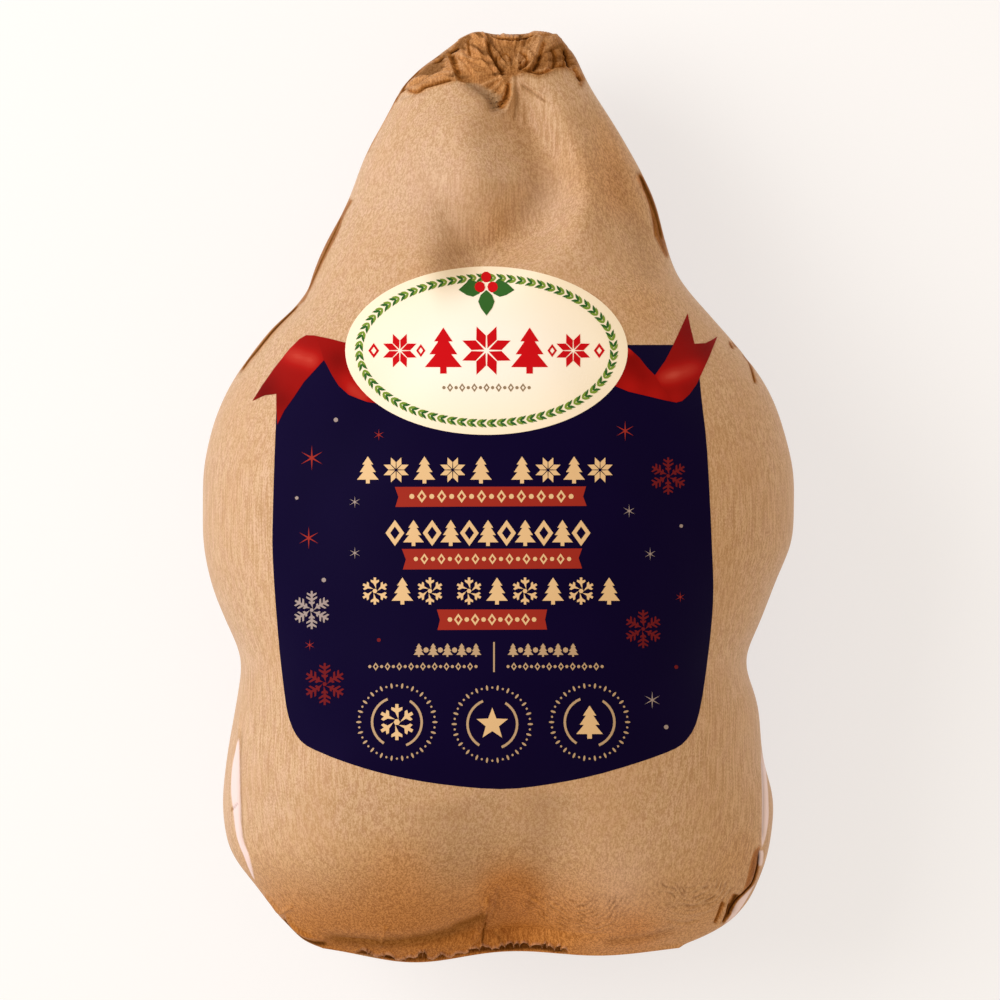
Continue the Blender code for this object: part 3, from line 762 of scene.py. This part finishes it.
def sheet(name, shapes, step, to_space, sheen=None):
    """Flat faces inside outlines. Each shape is a list of outlines, and one inside another cuts a hole in it.
    The sheen is a base and spots of picture place, reach and amount, kept as an attribute for the ink."""
    glow = []
    corners, faces = [], []
    for loops in shapes:
        loops = [resampled(np.array(loop, dtype=float), step) for loop in loops]
        low, high = np.vstack(loops).min(axis=0), np.vstack(loops).max(axis=0)
        gx, gy = np.meshgrid(*(np.arange(a + 0.5 * step, b, step) for a, b in zip(low, high)))
        odd = np.zeros(gx.shape, dtype=bool)
        clear = np.ones(gx.shape, dtype=bool)
        for loop in loops:
            odd ^= inside(gx, gy, loop)
            clear &= off_line(gx, gy, np.vstack((loop, loop[:1])))[0] > 0.45 * step
        points = np.vstack(loops + [np.stack((gx, gy), axis=-1)[odd & clear]])
        edges, start = [], 0
        for loop in loops:
            edges += [(start + i, start + (i + 1) % len(loop)) for i in range(len(loop))]
            start += len(loop)
        found = geometry.delaunay_2d_cdt([Vector(p) for p in points.tolist()], edges, [], 0, 1e-6)
        points, triangles = np.array([tuple(p) for p in found[0]]), np.array(found[2])
        middles = points[triangles].mean(axis=1)
        keep = np.zeros(len(triangles), dtype=bool)
        for loop in loops:
            keep ^= inside(middles[:, 0], middles[:, 1], loop)
        triangles = triangles[keep]
        a, b, c = (points[triangles[:, i]] for i in range(3))
        turn = (b[:, 0] - a[:, 0]) * (c[:, 1] - a[:, 1]) - (b[:, 1] - a[:, 1]) * (c[:, 0] - a[:, 0])
        triangles[turn > 0.0] = triangles[turn > 0.0][:, ::-1]
        triangles = triangles[np.abs(turn) > SLIVER * step**2]
        faces += (triangles + len(corners)).tolist()
        corners += [to_space(px, py) for px, py in points.tolist()]
        if sheen:
            spots = [amount * bell(np.hypot(*(points - at).T), 0.0, reach) for at, reach, amount in sheen[1:]]
            glow += (sheen[0] + sum(spots)).tolist()
    mesh = bpy.data.meshes.new(name)
    mesh.from_pydata(corners, [], faces)
    if sheen:
        mesh.attributes.new("sheen", "FLOAT", "POINT").data.foreach_set("value", glow)
    return mesh


def on_picture(across, down):
    """Where a pixel of the picture lies at the height of the silhouette, in metres."""
    return (across - PACK_MIDDLE[0]) * PIXEL, (PACK_MIDDLE[1] - down) * PIXEL, RIM_HEIGHT


def node_tree(name, inputs):
    """An empty Geometry Nodes tree with these inputs, its input node and its output node."""
    made = bpy.data.node_groups.new(name, "GeometryNodeTree")
    made.interface.new_socket("Geometry", in_out="INPUT", socket_type="NodeSocketGeometry")
    for label, kind in inputs.items():
        made.interface.new_socket(label, in_out="INPUT", socket_type="NodeSocket" + kind)
    made.interface.new_socket("Geometry", in_out="OUTPUT", socket_type="NodeSocketGeometry")
    return made, add(made, "NodeGroupInput").outputs, add(made, "NodeGroupOutput")


def new_end(tree, kind, sockets, **settings):
    """The first output of a new node."""
    return add(tree, kind, sockets, **settings).outputs[0]


SKIN_INPUTS = {"Film": "Object", "Seen From": "Vector", "Lift": "Float", "Skin": "Float"}
ink_skin, given, result = node_tree("ink skin", SKIN_INPUTS)
film_shape = add(ink_skin, "GeometryNodeObjectInfo", {"Object": given["Film"]}).outputs["Geometry"]
here = new_end(ink_skin, "GeometryNodeInputPosition", {})
ray = new_end(ink_skin, "ShaderNodeVectorMath", {0: here, 1: given["Seen From"]}, operation="SUBTRACT")
aim = {"Target Geometry": film_shape, "Source Position": given["Seen From"], "Ray Direction": ray}
hit = add(ink_skin, "GeometryNodeRaycast", {**aim, "Ray Length": 10.0}).outputs
under = new_end(ink_skin, "ShaderNodeMath", {0: given["Lift"], 1: given["Skin"]}, operation="SUBTRACT")
sunk = new_end(ink_skin, "ShaderNodeVectorMath", {0: hit["Hit Normal"], "Scale": under}, operation="SCALE")
below = new_end(ink_skin, "ShaderNodeVectorMath", {0: hit["Hit Position"], 1: sunk}, operation="ADD")
base = new_end(ink_skin, "GeometryNodeSetPosition", {"Geometry": given["Geometry"], "Position": below})
pull = {"Mesh": base, "Offset": hit["Hit Normal"], "Offset Scale": given["Skin"], "Individual": False}
raised = new_end(ink_skin, "GeometryNodeExtrudeMesh", pull)
bottom = new_end(ink_skin, "GeometryNodeFlipFaces", {"Mesh": base})
both = add(ink_skin, "GeometryNodeJoinGeometry", {"Geometry": bottom})
ink_skin.links.new(raised, both.inputs[0])
closed = {"Geometry": both.outputs[0], "Distance": 1e-6}
ink_skin.links.new(new_end(ink_skin, "GeometryNodeMergeByDistance", closed), result.inputs[0])


def lay_ink(tree, flat, given, result):
    """Ends a tree: the flat print as a skin on the film, in its ink."""
    inputs = {"Geometry": flat, **{label: given[label] for label in SKIN_INPUTS}}
    laid = new_end(tree, "GeometryNodeGroup", inputs, node_tree=ink_skin)
    real = new_end(tree, "GeometryNodeRealizeInstances", {0: laid})
    inked = new_end(tree, "GeometryNodeSetMaterial", {"Geometry": real, "Material": given["Ink"]})
    tree.links.new(inked, result.inputs[0])


print_patch, given, result = node_tree("printed patch", {**SKIN_INPUTS, "Ink": "Material"})
lay_ink(print_patch, given["Geometry"], given, result)

LINE_INPUTS = {"Motifs": "Collection", "Count": "Int", "Size": "Float", **SKIN_INPUTS, "Ink": "Material"}
motif_line, given, result = node_tree("motifs along a line", LINE_INPUTS)
curve = new_end(motif_line, "GeometryNodeMeshToCurve", {"Mesh": given["Geometry"]})
even = {"Curve": curve, "Count": given["Count"]}
heading = new_end(motif_line, "GeometryNodeInputTangent", {})
whole = {"Collection": given["Motifs"], "Separate Children": True, "Reset Children": True}
rows = {
    "Points": new_end(motif_line, "GeometryNodeResampleCurve", even, mode="COUNT"),
    "Instance": new_end(motif_line, "GeometryNodeCollectionInfo", whole),
    "Pick Instance": True,
    "Instance Index": new_end(motif_line, "GeometryNodeInputIndex", {}),
    "Rotation": new_end(
        motif_line, "FunctionNodeAlignRotationToVector", {"Vector": heading}, axis="X", pivot_axis="Z"
    ),
    "Scale": given["Size"],
}
placed = new_end(motif_line, "GeometryNodeInstanceOnPoints", rows)
loose = new_end(motif_line, "GeometryNodeRealizeInstances", {0: placed})
lay_ink(motif_line, loose, given, result)

film_form = bpy.data.objects.new("film_form", bpy.data.meshes.new("film_form"))
shape = bmesh.new()
for piece in film:
    shape.from_mesh(piece.data)
shape.to_mesh(film_form.data)
shape.free()

INK_DEPTH, LAYER = 0.12 * MM, 0.09 * MM  # how deep an ink sits in the film, and how far it lies over the next


def baked(tree, mesh, settings):
    """The mesh that a Geometry Nodes tree makes of this one, with its inputs set by name."""
    maker = bpy.data.objects.new(mesh.name, mesh)
    bpy.context.scene.collection.objects.link(maker)
    nodes = maker.modifiers.new("nodes", "NODES")
    nodes.node_group = tree
    identifiers = {item.name: item.identifier for item in tree.interface.items_tree if item.in_out == "INPUT"}
    for label, value in settings.items():
        nodes[identifiers[label]] = value
    graph = bpy.context.evaluated_depsgraph_get()
    seen = maker.evaluated_get(graph)
    made = bpy.data.meshes.new_from_object(seen, preserve_all_data_layers=True, depsgraph=graph)
    bpy.data.objects.remove(maker)
    return made


def printed(tree, mesh, layer, ink, **settings):
    """Print laid on the film: layer counts the inks under it."""
    lift = (layer + 1) * LAYER
    settings.update({"Film": film_form, "Seen From": tuple(camera.location), "Lift": lift})
    settings.update({"Skin": lift + INK_DEPTH, "Ink": ink})
    return baked(tree, mesh, settings)


def printed_piece(name, ink, meshes):
    """One object of one ink from the meshes, riding with the pack."""
    shape = bmesh.new()
    for made in meshes:
        shape.from_mesh(made)
    whole = bpy.data.meshes.new(name)
    shape.to_mesh(whole)
    shape.free()
    whole.materials.append(ink)
    whole.polygons.foreach_set("material_index", np.zeros(len(whole.polygons), dtype=np.int32))
    whole.shade_smooth()
    whole.set_sharp_from_angle(angle=math.radians(50.0))
    piece = bpy.data.objects.new(name, whole)
    bpy.context.scene.collection.objects.link(piece)
    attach(piece, "root")
    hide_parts("wrapped_turkey")


def ink_material(name, codes, patch_size):
    """Flexographic ink on film: two near shades in soft patches, satin, with the film's fine fibres in it."""
    made, tree, shader = fresh_material(name)
    in_space = add(tree, "ShaderNodeTexCoord").outputs["Object"]
    patches = new_end(tree, "ShaderNodeTexNoise", {"Vector": in_space, "Scale": 1.0 / patch_size})
    tree.links.new(mix(tree, patches, *codes), shader.inputs["Base Color"])
    shader.inputs["Roughness"].default_value = 0.6
    shader.inputs["Specular IOR Level"].default_value = 0.03
    fibres = grain_in(tree, in_space, *FIBRE)
    grain = new_end(tree, "ShaderNodeBump", {"Strength": 0.2, "Distance": 0.00005, "Height": fibres})
    tree.links.new(grain, shader.inputs["Normal"])
    return made


navy_ink = ink_material("navy_flexo_ink", ("#0a032c", "#0f0533"), 0.03)
PANEL_EDGE = path(
    "318,345 304,356 288,376 278,400 276,424 273,510 273,560 278,632 283,680 289,718 301,741 322,753 "
    "354,765 390,775 440,784 500,789 550,784 603,773 665,753 687,739 699,713 708,655 713,600 712,550 "
    "707,450 701,395 697,345"
)
PANEL = smooth_line(PANEL_EDGE, 3).tolist()
panel = printed(print_patch, sheet("navy_panel", [[PANEL]], 4.0, on_picture), 0, navy_ink)
printed_piece("navy_panel", navy_ink, [panel])


# The ribbon
# A red satin ribbon is printed behind the plate, with one fold and a swallowtail at each side. Its sheen is
# printed too: darker where it turns away, paler across each bend.
ribbon_ink = ink_material("red_ribbon_ink", ("#a31418", "#a81619"), 0.02)
tree = ribbon_ink.node_tree
sheen_at = add(tree, "ShaderNodeAttribute", attribute_name="sheen").outputs["Fac"]
satin = ramp(
    tree, sheen_at, (0.0, "#6a0706"), (0.3, "#8d0d0b"), (0.55, "#a81512"), (0.8, "#b62f27"), (1.0, "#cc5449")
)
tree.links.new(satin, tree.nodes["Principled BSDF"].inputs["Base Color"])
RIBBON = (  # outline, then sheen: its base, and spots of place, reach and amount
    (  # left tail
        "252.9,400.8 262.8,385 274.7,368.2 289.5,349.4 299.4,339.5 306.3,335.4 314.2,335.6 318,341 "
        "321.1,349.4 324.1,360.3 314.2,371.2 304.3,382 294.4,396.9 284.5,410.7 277.6,424.6 276.6,408.7 "
        "276.6,393.9 264.8,395.4",
        (0.36, ((288, 354), 9.0, 0.3), ((299, 357), 9.0, 0.4), ((312, 361), 9.0, 0.45),
         ((262, 393), 13.0, -0.3), ((282, 402), 13.0, -0.22), ((272, 380), 9.0, -0.1)),
    ),
    (  # left strand, as far as it shows
        "314,335.6 329,338.6 352,344.5 380,352 380,404 367,402 358.7,398.9 348.8,394.9 338.9,386 332,375.1 "
        "327,365.2 324.1,360.3 321.1,349.4 318,341",
        (0.34, ((338, 360), 11.0, -0.2), ((346, 380), 8.0, 0.15), ((353, 390), 8.0, 0.4),
         ((363, 397), 8.0, 0.4)),
    ),
    (  # right tail
        "687.4,313.9 690.5,329 694.3,344 705.3,343.3 711,340.5 717.1,336.7 709,357.2 703.9,368.2 "
        "696.5,384.3 689.2,394.6 681.9,401.2 676,402.7 672.3,401.2 661.3,386.5 654.7,375.5 665,360.9 "
        "672.3,346.9 679.7,330.8",
        (0.34, ((663, 378), 8.0, 0.35), ((674, 375), 9.0, 0.5), ((687, 371), 9.0, 0.4),
         ((697, 367), 8.0, 0.2), ((688, 330), 14.0, -0.15), ((706, 348), 13.0, -0.18),
         ((676, 398), 9.0, 0.15)),
    ),
    (  # right strand
        "596,346.2 625.4,346.2 630.5,349.9 639.3,357.9 646.7,367.5 654.7,375.5 661.3,386.5 672.3,401.2 "
        "676,402.7 665,400.5 646.7,396.1 628.3,391.7 612,385 600,380",
        (0.4, ((632, 362), 12.0, -0.2), ((642, 376), 8.0, -0.1), ((629, 351), 4.0, 0.4),
         ((630, 388), 10.0, 0.15), ((655, 396), 9.0, 0.15)),
    ),
)
ribbon = [sheet("ribbon", [[path(outline)]], 3.0, on_picture, sheen) for outline, sheen in RIBBON]
ribbon = [printed(print_patch, flat, 1, ribbon_ink) for flat in ribbon]
printed_piece("ribbon", ribbon_ink, ribbon)


# The motifs
# Small traditional winter figures, one unit high with y down as in the picture: a fir, a rose with eight
# petals, a diamond, a snow crystal, stars, dots and a leaf. Each is a list of shapes, and each shape a list
# of outlines. Nodes repeat them along lines.
def turned_by(points, angle):
    """The points turned about their origin."""
    cos, sin = math.cos(angle), math.sin(angle)
    return [(x * cos - y * sin, x * sin + y * cos) for x, y in points]


def ellipse(centre, across, down, count, first=0.0, last=2.0 * math.pi):
    """Points round an ellipse, anticlockwise from the right."""
    angles = [first + (last - first) * i / count for i in range(count)]
    return [(centre[0] + across * math.cos(a), centre[1] - down * math.sin(a)) for a in angles]


def leaf(tilt, base, fat=1.0):
    """One pointed leaf, pointing right before its tilt."""
    side = ((0.2, 0.12), (0.45, 0.17), (0.7, 0.12))
    edge = ((0.0, 0.0), *((x, -y) for x, y in side), (1.0, 0.0), *side[::-1])
    return turned_by([(x + base, y * fat) for x, y in edge], tilt)


def star(points, waist):
    """A star with that many points and that distance from its middle to the notches between them."""
    rays = [(0.5 if i % 2 == 0 else waist, i * math.pi / points) for i in range(2 * points)]
    return [[[(r * math.sin(a), -r * math.cos(a)) for r, a in rays]]]


def crystal(stem, branches):
    """A snow crystal: six stems of that half width, with pairs of branches of that place and length."""
    edge = [(stem / math.tan(math.pi / 6.0), stem)]
    tilt_x, tilt_y = math.cos(math.pi / 3.2), math.sin(math.pi / 3.2)
    for at, length in branches:
        end_x, end_y = at + length * tilt_x, stem + length * tilt_y
        edge += [(at, stem), (end_x, end_y), (end_x + 1.7 * stem, end_y), (at + 2.6 * stem, stem)]
    arm = edge + [(0.5, stem), (0.5, -stem)] + [(x, -y) for x, y in edge[::-1]]
    arms = [turned_by(arm[-1:] + arm[:-1], (sixth + 0.5) * math.pi / 3.0) for sixth in range(6)]
    return [[sum(arms, [])]]


FIR_SIDE = (
    (0, -0.5), (0.2, -0.2), (0.11, -0.2), (0.3, 0.08), (0.17, 0.08), (0.4, 0.36), (0.07, 0.36), (0.07, 0.5)
)
FIR = [[[*FIR_SIDE, *[(-x, y) for x, y in FIR_SIDE[:0:-1]]]]]
PETAL = ((0.05, 0.0), (0.27, -0.1), (0.5, 0.0), (0.27, 0.1))
ROSE = [[turned_by(PETAL, (eighth + 0.5) * math.pi / 4.0)] for eighth in range(8)]
DIAMOND = [[ellipse((0, 0), 0.36, 0.5, 4), ellipse((0, 0), 0.18, 0.25, 4)]]
DOT = [[ellipse((0, 0), 0.5, 0.5, 10)]]
SMALL_DOT = [[ellipse((0, 0), 0.2, 0.2, 8)]]
BOLD_CRYSTAL = crystal(0.045, ((0.27, 0.13),))
BRANCHED_CRYSTAL = crystal(0.026, ((0.15, 0.06), (0.24, 0.14), (0.35, 0.12)))
THIN_STAR, FIVE_STAR = star(6, 0.07), star(5, 0.21)
SPRIG = [[leaf(0.55, 0.0)], [leaf(-0.55, 0.0)]]


def unit_space(x, y):
    """A point of a figure, for nodes that place it later."""
    return x, -y, 0.0


def motif_box(*figures):
    """A collection of motifs, which a line of them takes in turn."""
    box = bpy.data.collections.new("motifs")
    for number, shapes in enumerate(figures):
        box.objects.link(bpy.data.objects.new(f"motif_{number}", sheet("motif", shapes, 0.5, unit_space)))
    return box


def band(box, points, count, size, layer, ink, closed=False):
    """Motifs of a height in pixels, evenly along a line through pixels of the picture."""
    line = bpy.data.meshes.new("line")
    edges = [(i, i + 1) for i in range(len(points) - 1)] + ([(len(points) - 1, 0)] if closed else [])
    line.from_pydata([on_picture(*point) for point in points], edges, [])
    return printed(motif_line, line, layer, ink, **{"Motifs": box, "Count": count, "Size": size * PIXEL})


def single(shapes, places, layer, ink):
    """A motif at each place of the picture, with its height in pixels."""
    moved = [
        [[(x + size * u, y + size * v) for u, v in loop] for loop in shape]
        for x, y, size in places
        for shape in shapes
    ]
    return printed(print_patch, sheet("single", moved, 3.0, on_picture), layer, ink)


# The bands
# Cream bands of these figures, printed on the navy and on the red banners between them.
cream_ink = ink_material("cream_flexo_ink", ("#e2c196", "#e6c9a0"), 0.01)
dim_cream_ink = ink_material("dim_cream_flexo_ink", ("#b9a084", "#c2a98d"), 0.01)
banner_ink = ink_material("brick_red_flexo_ink", ("#9a2c25", "#a23328"), 0.02)
FIRS_AND_ROSES, DIAMONDS_AND_FIRS = motif_box(FIR, ROSE), motif_box(DIAMOND, FIR)
CRYSTALS_AND_FIRS, DOTS_AND_DIAMONDS = motif_box(BOLD_CRYSTAL, FIR), motif_box(SMALL_DOT, DIAMOND)
FIRS_AND_DOTS = motif_box(FIR, SMALL_DOT)
ON_NAVY, ON_BANNER, ON_PLATE = 1, 2, 3  # how many inks lie below
BANDS = (  # motifs, line, count, height, layer
    (FIRS_AND_ROSES, ((368, 470), (481, 470)), 5, 27.0, ON_NAVY),
    (FIRS_AND_ROSES, ((522, 470), (600, 470)), 4, 27.0, ON_NAVY),
    (DOTS_AND_DIAMONDS, ((412, 496.5), (571, 496.5)), 17, 13.0, ON_BANNER),
    (DIAMONDS_AND_FIRS, ((395, 533), (581, 533)), 11, 26.0, ON_NAVY),
    (DOTS_AND_DIAMONDS, ((416, 559), (569, 559)), 19, 11.0, ON_BANNER),
    (CRYSTALS_AND_FIRS, ((375, 591), (430, 591)), 3, 27.0, ON_NAVY),
    (CRYSTALS_AND_FIRS, ((469, 591), (609, 591)), 6, 27.0, ON_NAVY),
    (DOTS_AND_DIAMONDS, ((450, 619.5), (534, 619.5)), 11, 12.0, ON_BANNER),
)
DIM_BANDS = (
    (FIRS_AND_DOTS, ((419, 650), (476, 650)), 9, 13.5, ON_NAVY),
    (FIRS_AND_DOTS, ((513, 650), (573, 650)), 9, 13.5, ON_NAVY),
    (DOTS_AND_DIAMONDS, ((370, 666.5), (476, 666.5)), 19, 8.0, ON_NAVY),
    (DOTS_AND_DIAMONDS, ((508, 666.5), (602, 666.5)), 17, 8.0, ON_NAVY),
)
BANNERS = (
    "395,487 586,486.5 583,496.5 586.5,506 395.5,507 398.5,497",
    "402,549 582,548.5 578.5,558 582,568.5 403,569.5 406,559.5",
    "437,609.5 547,609.5 545,619.5 547,629.5 437.5,630 440,620",
)
banners = sheet("banners", [[path(outline)] for outline in BANNERS], 4.0, on_picture)
printed_piece("banners", banner_ink, [printed(print_patch, banners, 1, banner_ink)])
cream = [band(*row, cream_ink) for row in BANDS]
dim_cream = [band(*row, dim_cream_ink) for row in DIM_BANDS]


# The round marks
# Three rings of beads with two arcs inside, each round a figure: a snow crystal, a star and a fir. A thin
# rule stands above them between the two small bands.
MARKS = ((397, 722), (492.3, 724), (589.5, 722))
MARK_RING, MARK_ARC, MARK_LINE = (38.0, 36.5), 24.8, 2.4
DIVIDER = ((493.2, 642), (494.8, 642), (494.8, 672), (493.2, 672))


def arc_strip(centre, first, last):
    """A thin arc between two angles in degrees."""
    first, last = math.radians(first), math.radians(last)
    outer, inner = (
        ellipse(centre, radius, radius, 14, first, last)
        for radius in (MARK_ARC + MARK_LINE / 2.0, MARK_ARC - MARK_LINE / 2.0)
    )
    return outer + inner[::-1]


strips = [[DIVIDER]] + [[arc_strip(mark, *ends)] for mark in MARKS for ends in ((112, 248), (-68, 68))]
dim_cream.append(printed(print_patch, sheet("strips", strips, 4.0, on_picture), ON_NAVY, dim_cream_ink))
BEADS = motif_box([[ellipse((0, 0), 0.2, 0.5, 8)]], SMALL_DOT)
for mark, figure, size in zip(MARKS, (BOLD_CRYSTAL, FIVE_STAR, FIR), (36.0, 33.0, 33.0)):
    dim_cream.append(band(BEADS, ellipse(mark, *MARK_RING, 60), 44, 5.5, ON_NAVY, dim_cream_ink, closed=True))
    cream.append(single(figure, ((*mark, size),), ON_NAVY, cream_ink))
printed_piece("cream_bands", cream_ink, cream)
printed_piece("dim_cream_bands", dim_cream_ink, dim_cream)


# Snow on the navy
# Snow crystals, thin stars and dots in pale and in red ink, as on any winter print.
pale_ink = ink_material("pale_flexo_ink", ("#998e92", "#a99d9e"), 0.004)
red_snow_ink = ink_material("red_snow_flexo_ink", ("#661a22", "#731f26"), 0.004)
star_ink = ink_material("star_red_flexo_ink", ("#932b29", "#9e342c"), 0.004)
PALE_STARS = ((355, 502, 12), (355, 553, 12), (629, 511, 13), (650, 554, 12), (652, 700, 17))
PALE_DOTS = ((336, 420, 4.5), (324, 580, 4.5), (666, 727, 4.5), (297, 498, 3.5), (681, 526, 3.5))
RED_STARS = ((312, 458, 25), (309, 538, 22), (379, 435, 12), (625, 431, 20), (310, 645, 11), (680, 597, 10))
SNOW = (  # name, slot, ink, figures and their places
    ("pale_snow", "cream_ink", pale_ink, (
        (BRANCHED_CRYSTAL, ((312, 610, 38),)), (THIN_STAR, PALE_STARS), (DOT, PALE_DOTS),
    )),
    ("red_snow", "red_ink", red_snow_ink, (
        (BRANCHED_CRYSTAL, ((325, 684, 42), (668, 476, 37), (643, 629, 38))),
        (DOT, ((379, 640, 4), (676, 667, 4))),
    )),
    ("red_stars", "red_ink", star_ink, ((THIN_STAR, RED_STARS),)),
)
for name, slot, ink, figures in SNOW:
    printed_piece(name, ink, [single(shapes, places, ON_NAVY, ink) for shapes, places in figures])


# The plate
# An oval cream plate lies over the ribbon, palest in the middle, with a wreath of leaves, a sprig of holly
# and a row of red knitting-pattern figures.
PLATE, PLATE_ACROSS, PLATE_DOWN = (486.5, 351), 141.0, 84.0
plate_ink = ink_material("plate_cream_flexo_ink", ("#fff7e6", "#fff7e6"), 0.01)
tree = plate_ink.node_tree
plate_space = add(tree, "ShaderNodeTexCoord").outputs["Object"]
centre = {
    "Vector": plate_space,
    "Location": (*on_plan(PLATE, 130.0) * MM, 0.13),
    "Scale": (PLATE_ACROSS * PIXEL, PLATE_DOWN * PIXEL, 1.0),
}
centred = new_end(tree, "ShaderNodeMapping", centre, vector_type="TEXTURE")
glow = add(tree, "ShaderNodeTexGradient", {"Vector": centred}, gradient_type="SPHERICAL").outputs["Fac"]
palest = ramp(tree, glow, (0.0, "#fbf3e2"), (0.25, "#fffaf0"), (0.7, "#ffffff"))
tree.links.new(palest, tree.nodes["Principled BSDF"].inputs["Base Color"])
plate = sheet("plate", [[ellipse(PLATE, PLATE_ACROSS, PLATE_DOWN, 90)]], 4.0, on_picture)
printed_piece("plate", plate_ink, [printed(print_patch, plate, 2, plate_ink)])
light_green_ink = ink_material("light_green_flexo_ink", ("#74953a", "#7e9f40"), 0.02)
dark_green_ink = ink_material("dark_green_flexo_ink", ("#2c5f2c", "#376b30"), 0.02)
berry_ink = ink_material("berry_red_flexo_ink", ("#c40d18", "#d0121c"), 0.01)
taupe_ink = ink_material("taupe_flexo_ink", ("#8d7c69", "#97866f"), 0.01)
LEAVES, TINY_ROW = motif_box(SPRIG), motif_box(SMALL_DOT, DIAMOND)
WREATH = (127.0, 72.5)
HOLLY = [[leaf(tilt, 0.12, 1.9)] for tilt in (math.pi * 0.97, math.pi * 0.03, math.pi / 2.0)]
light_leaves, dark_leaves = (
    band(LEAVES, ellipse(PLATE, *WREATH, 120, at, at + 2.0 * math.pi), 64, 8.0, ON_PLATE, ink, closed=True)
    for ink, at in ((light_green_ink, 0.0), (dark_green_ink, 0.05))
)
printed_piece("light_leaves", light_green_ink, [light_leaves])
holly = single(HOLLY, ((486.5, 288, 25),), ON_PLATE + 1, dark_green_ink)
printed_piece("dark_leaves", dark_green_ink, [dark_leaves, holly])
RED_ROW = (  # figure and its places on the plate
    (ROSE, ((486.5, 351, 52), (400, 351, 36), (573, 351, 36))),
    (FIR, ((443.5, 351, 46), (529.5, 351, 46))),
    (DIAMOND, ((374, 351, 15), (599, 351, 15), (421, 351, 13), (552, 351, 13))),
)
red_row = [single(shapes, places, ON_PLATE, berry_ink) for shapes, places in RED_ROW]
red_row.append(single(DOT, ((480, 288, 10.5), (493, 288, 10.5), (486.5, 278, 10.5)), ON_PLATE + 2, berry_ink))
printed_piece("plate_red_row", berry_ink, red_row)
small_row = band(TINY_ROW, ((444, 388), (529, 388)), 15, 8.5, ON_PLATE, taupe_ink)
printed_piece("plate_small_row", taupe_ink, [small_row])


# The studio
# A plain white table and soft light from the upper left, as in the photograph.
bpy.ops.mesh.primitive_plane_add(size=6.0)
floor = bpy.context.object
floor.name = "floor"
paper, tree, paper_shader = fresh_material("white_paper")
paper_shader.inputs["Base Color"].default_value = colour("#b4b4b4")
paper_shader.inputs["Roughness"].default_value = 0.9
paper_shader.inputs["Emission Color"].default_value = colour("#f2f7ff")
paper_shader.inputs["Emission Strength"].default_value = 0.6
floor.data.materials.append(paper)

world = bpy.data.worlds.new("studio")
bpy.context.scene.world = world
world.use_nodes = True
world.node_tree.nodes["Background"].inputs["Color"].default_value = colour("#ffe4bd")
world.node_tree.nodes["Background"].inputs["Strength"].default_value = 0.7
key_data = bpy.data.lights.new("key", "AREA")
key_data.size = 1.4
key_data.energy = 24.8
key = bpy.data.objects.new("key", key_data)
key.location = (-1.49, 0.5, 1.35)
key.rotation_euler = (Vector((0, 0, 0.05)) - key.location).to_track_quat("-Z", "Y").to_euler()
bpy.context.scene.collection.objects.link(key)
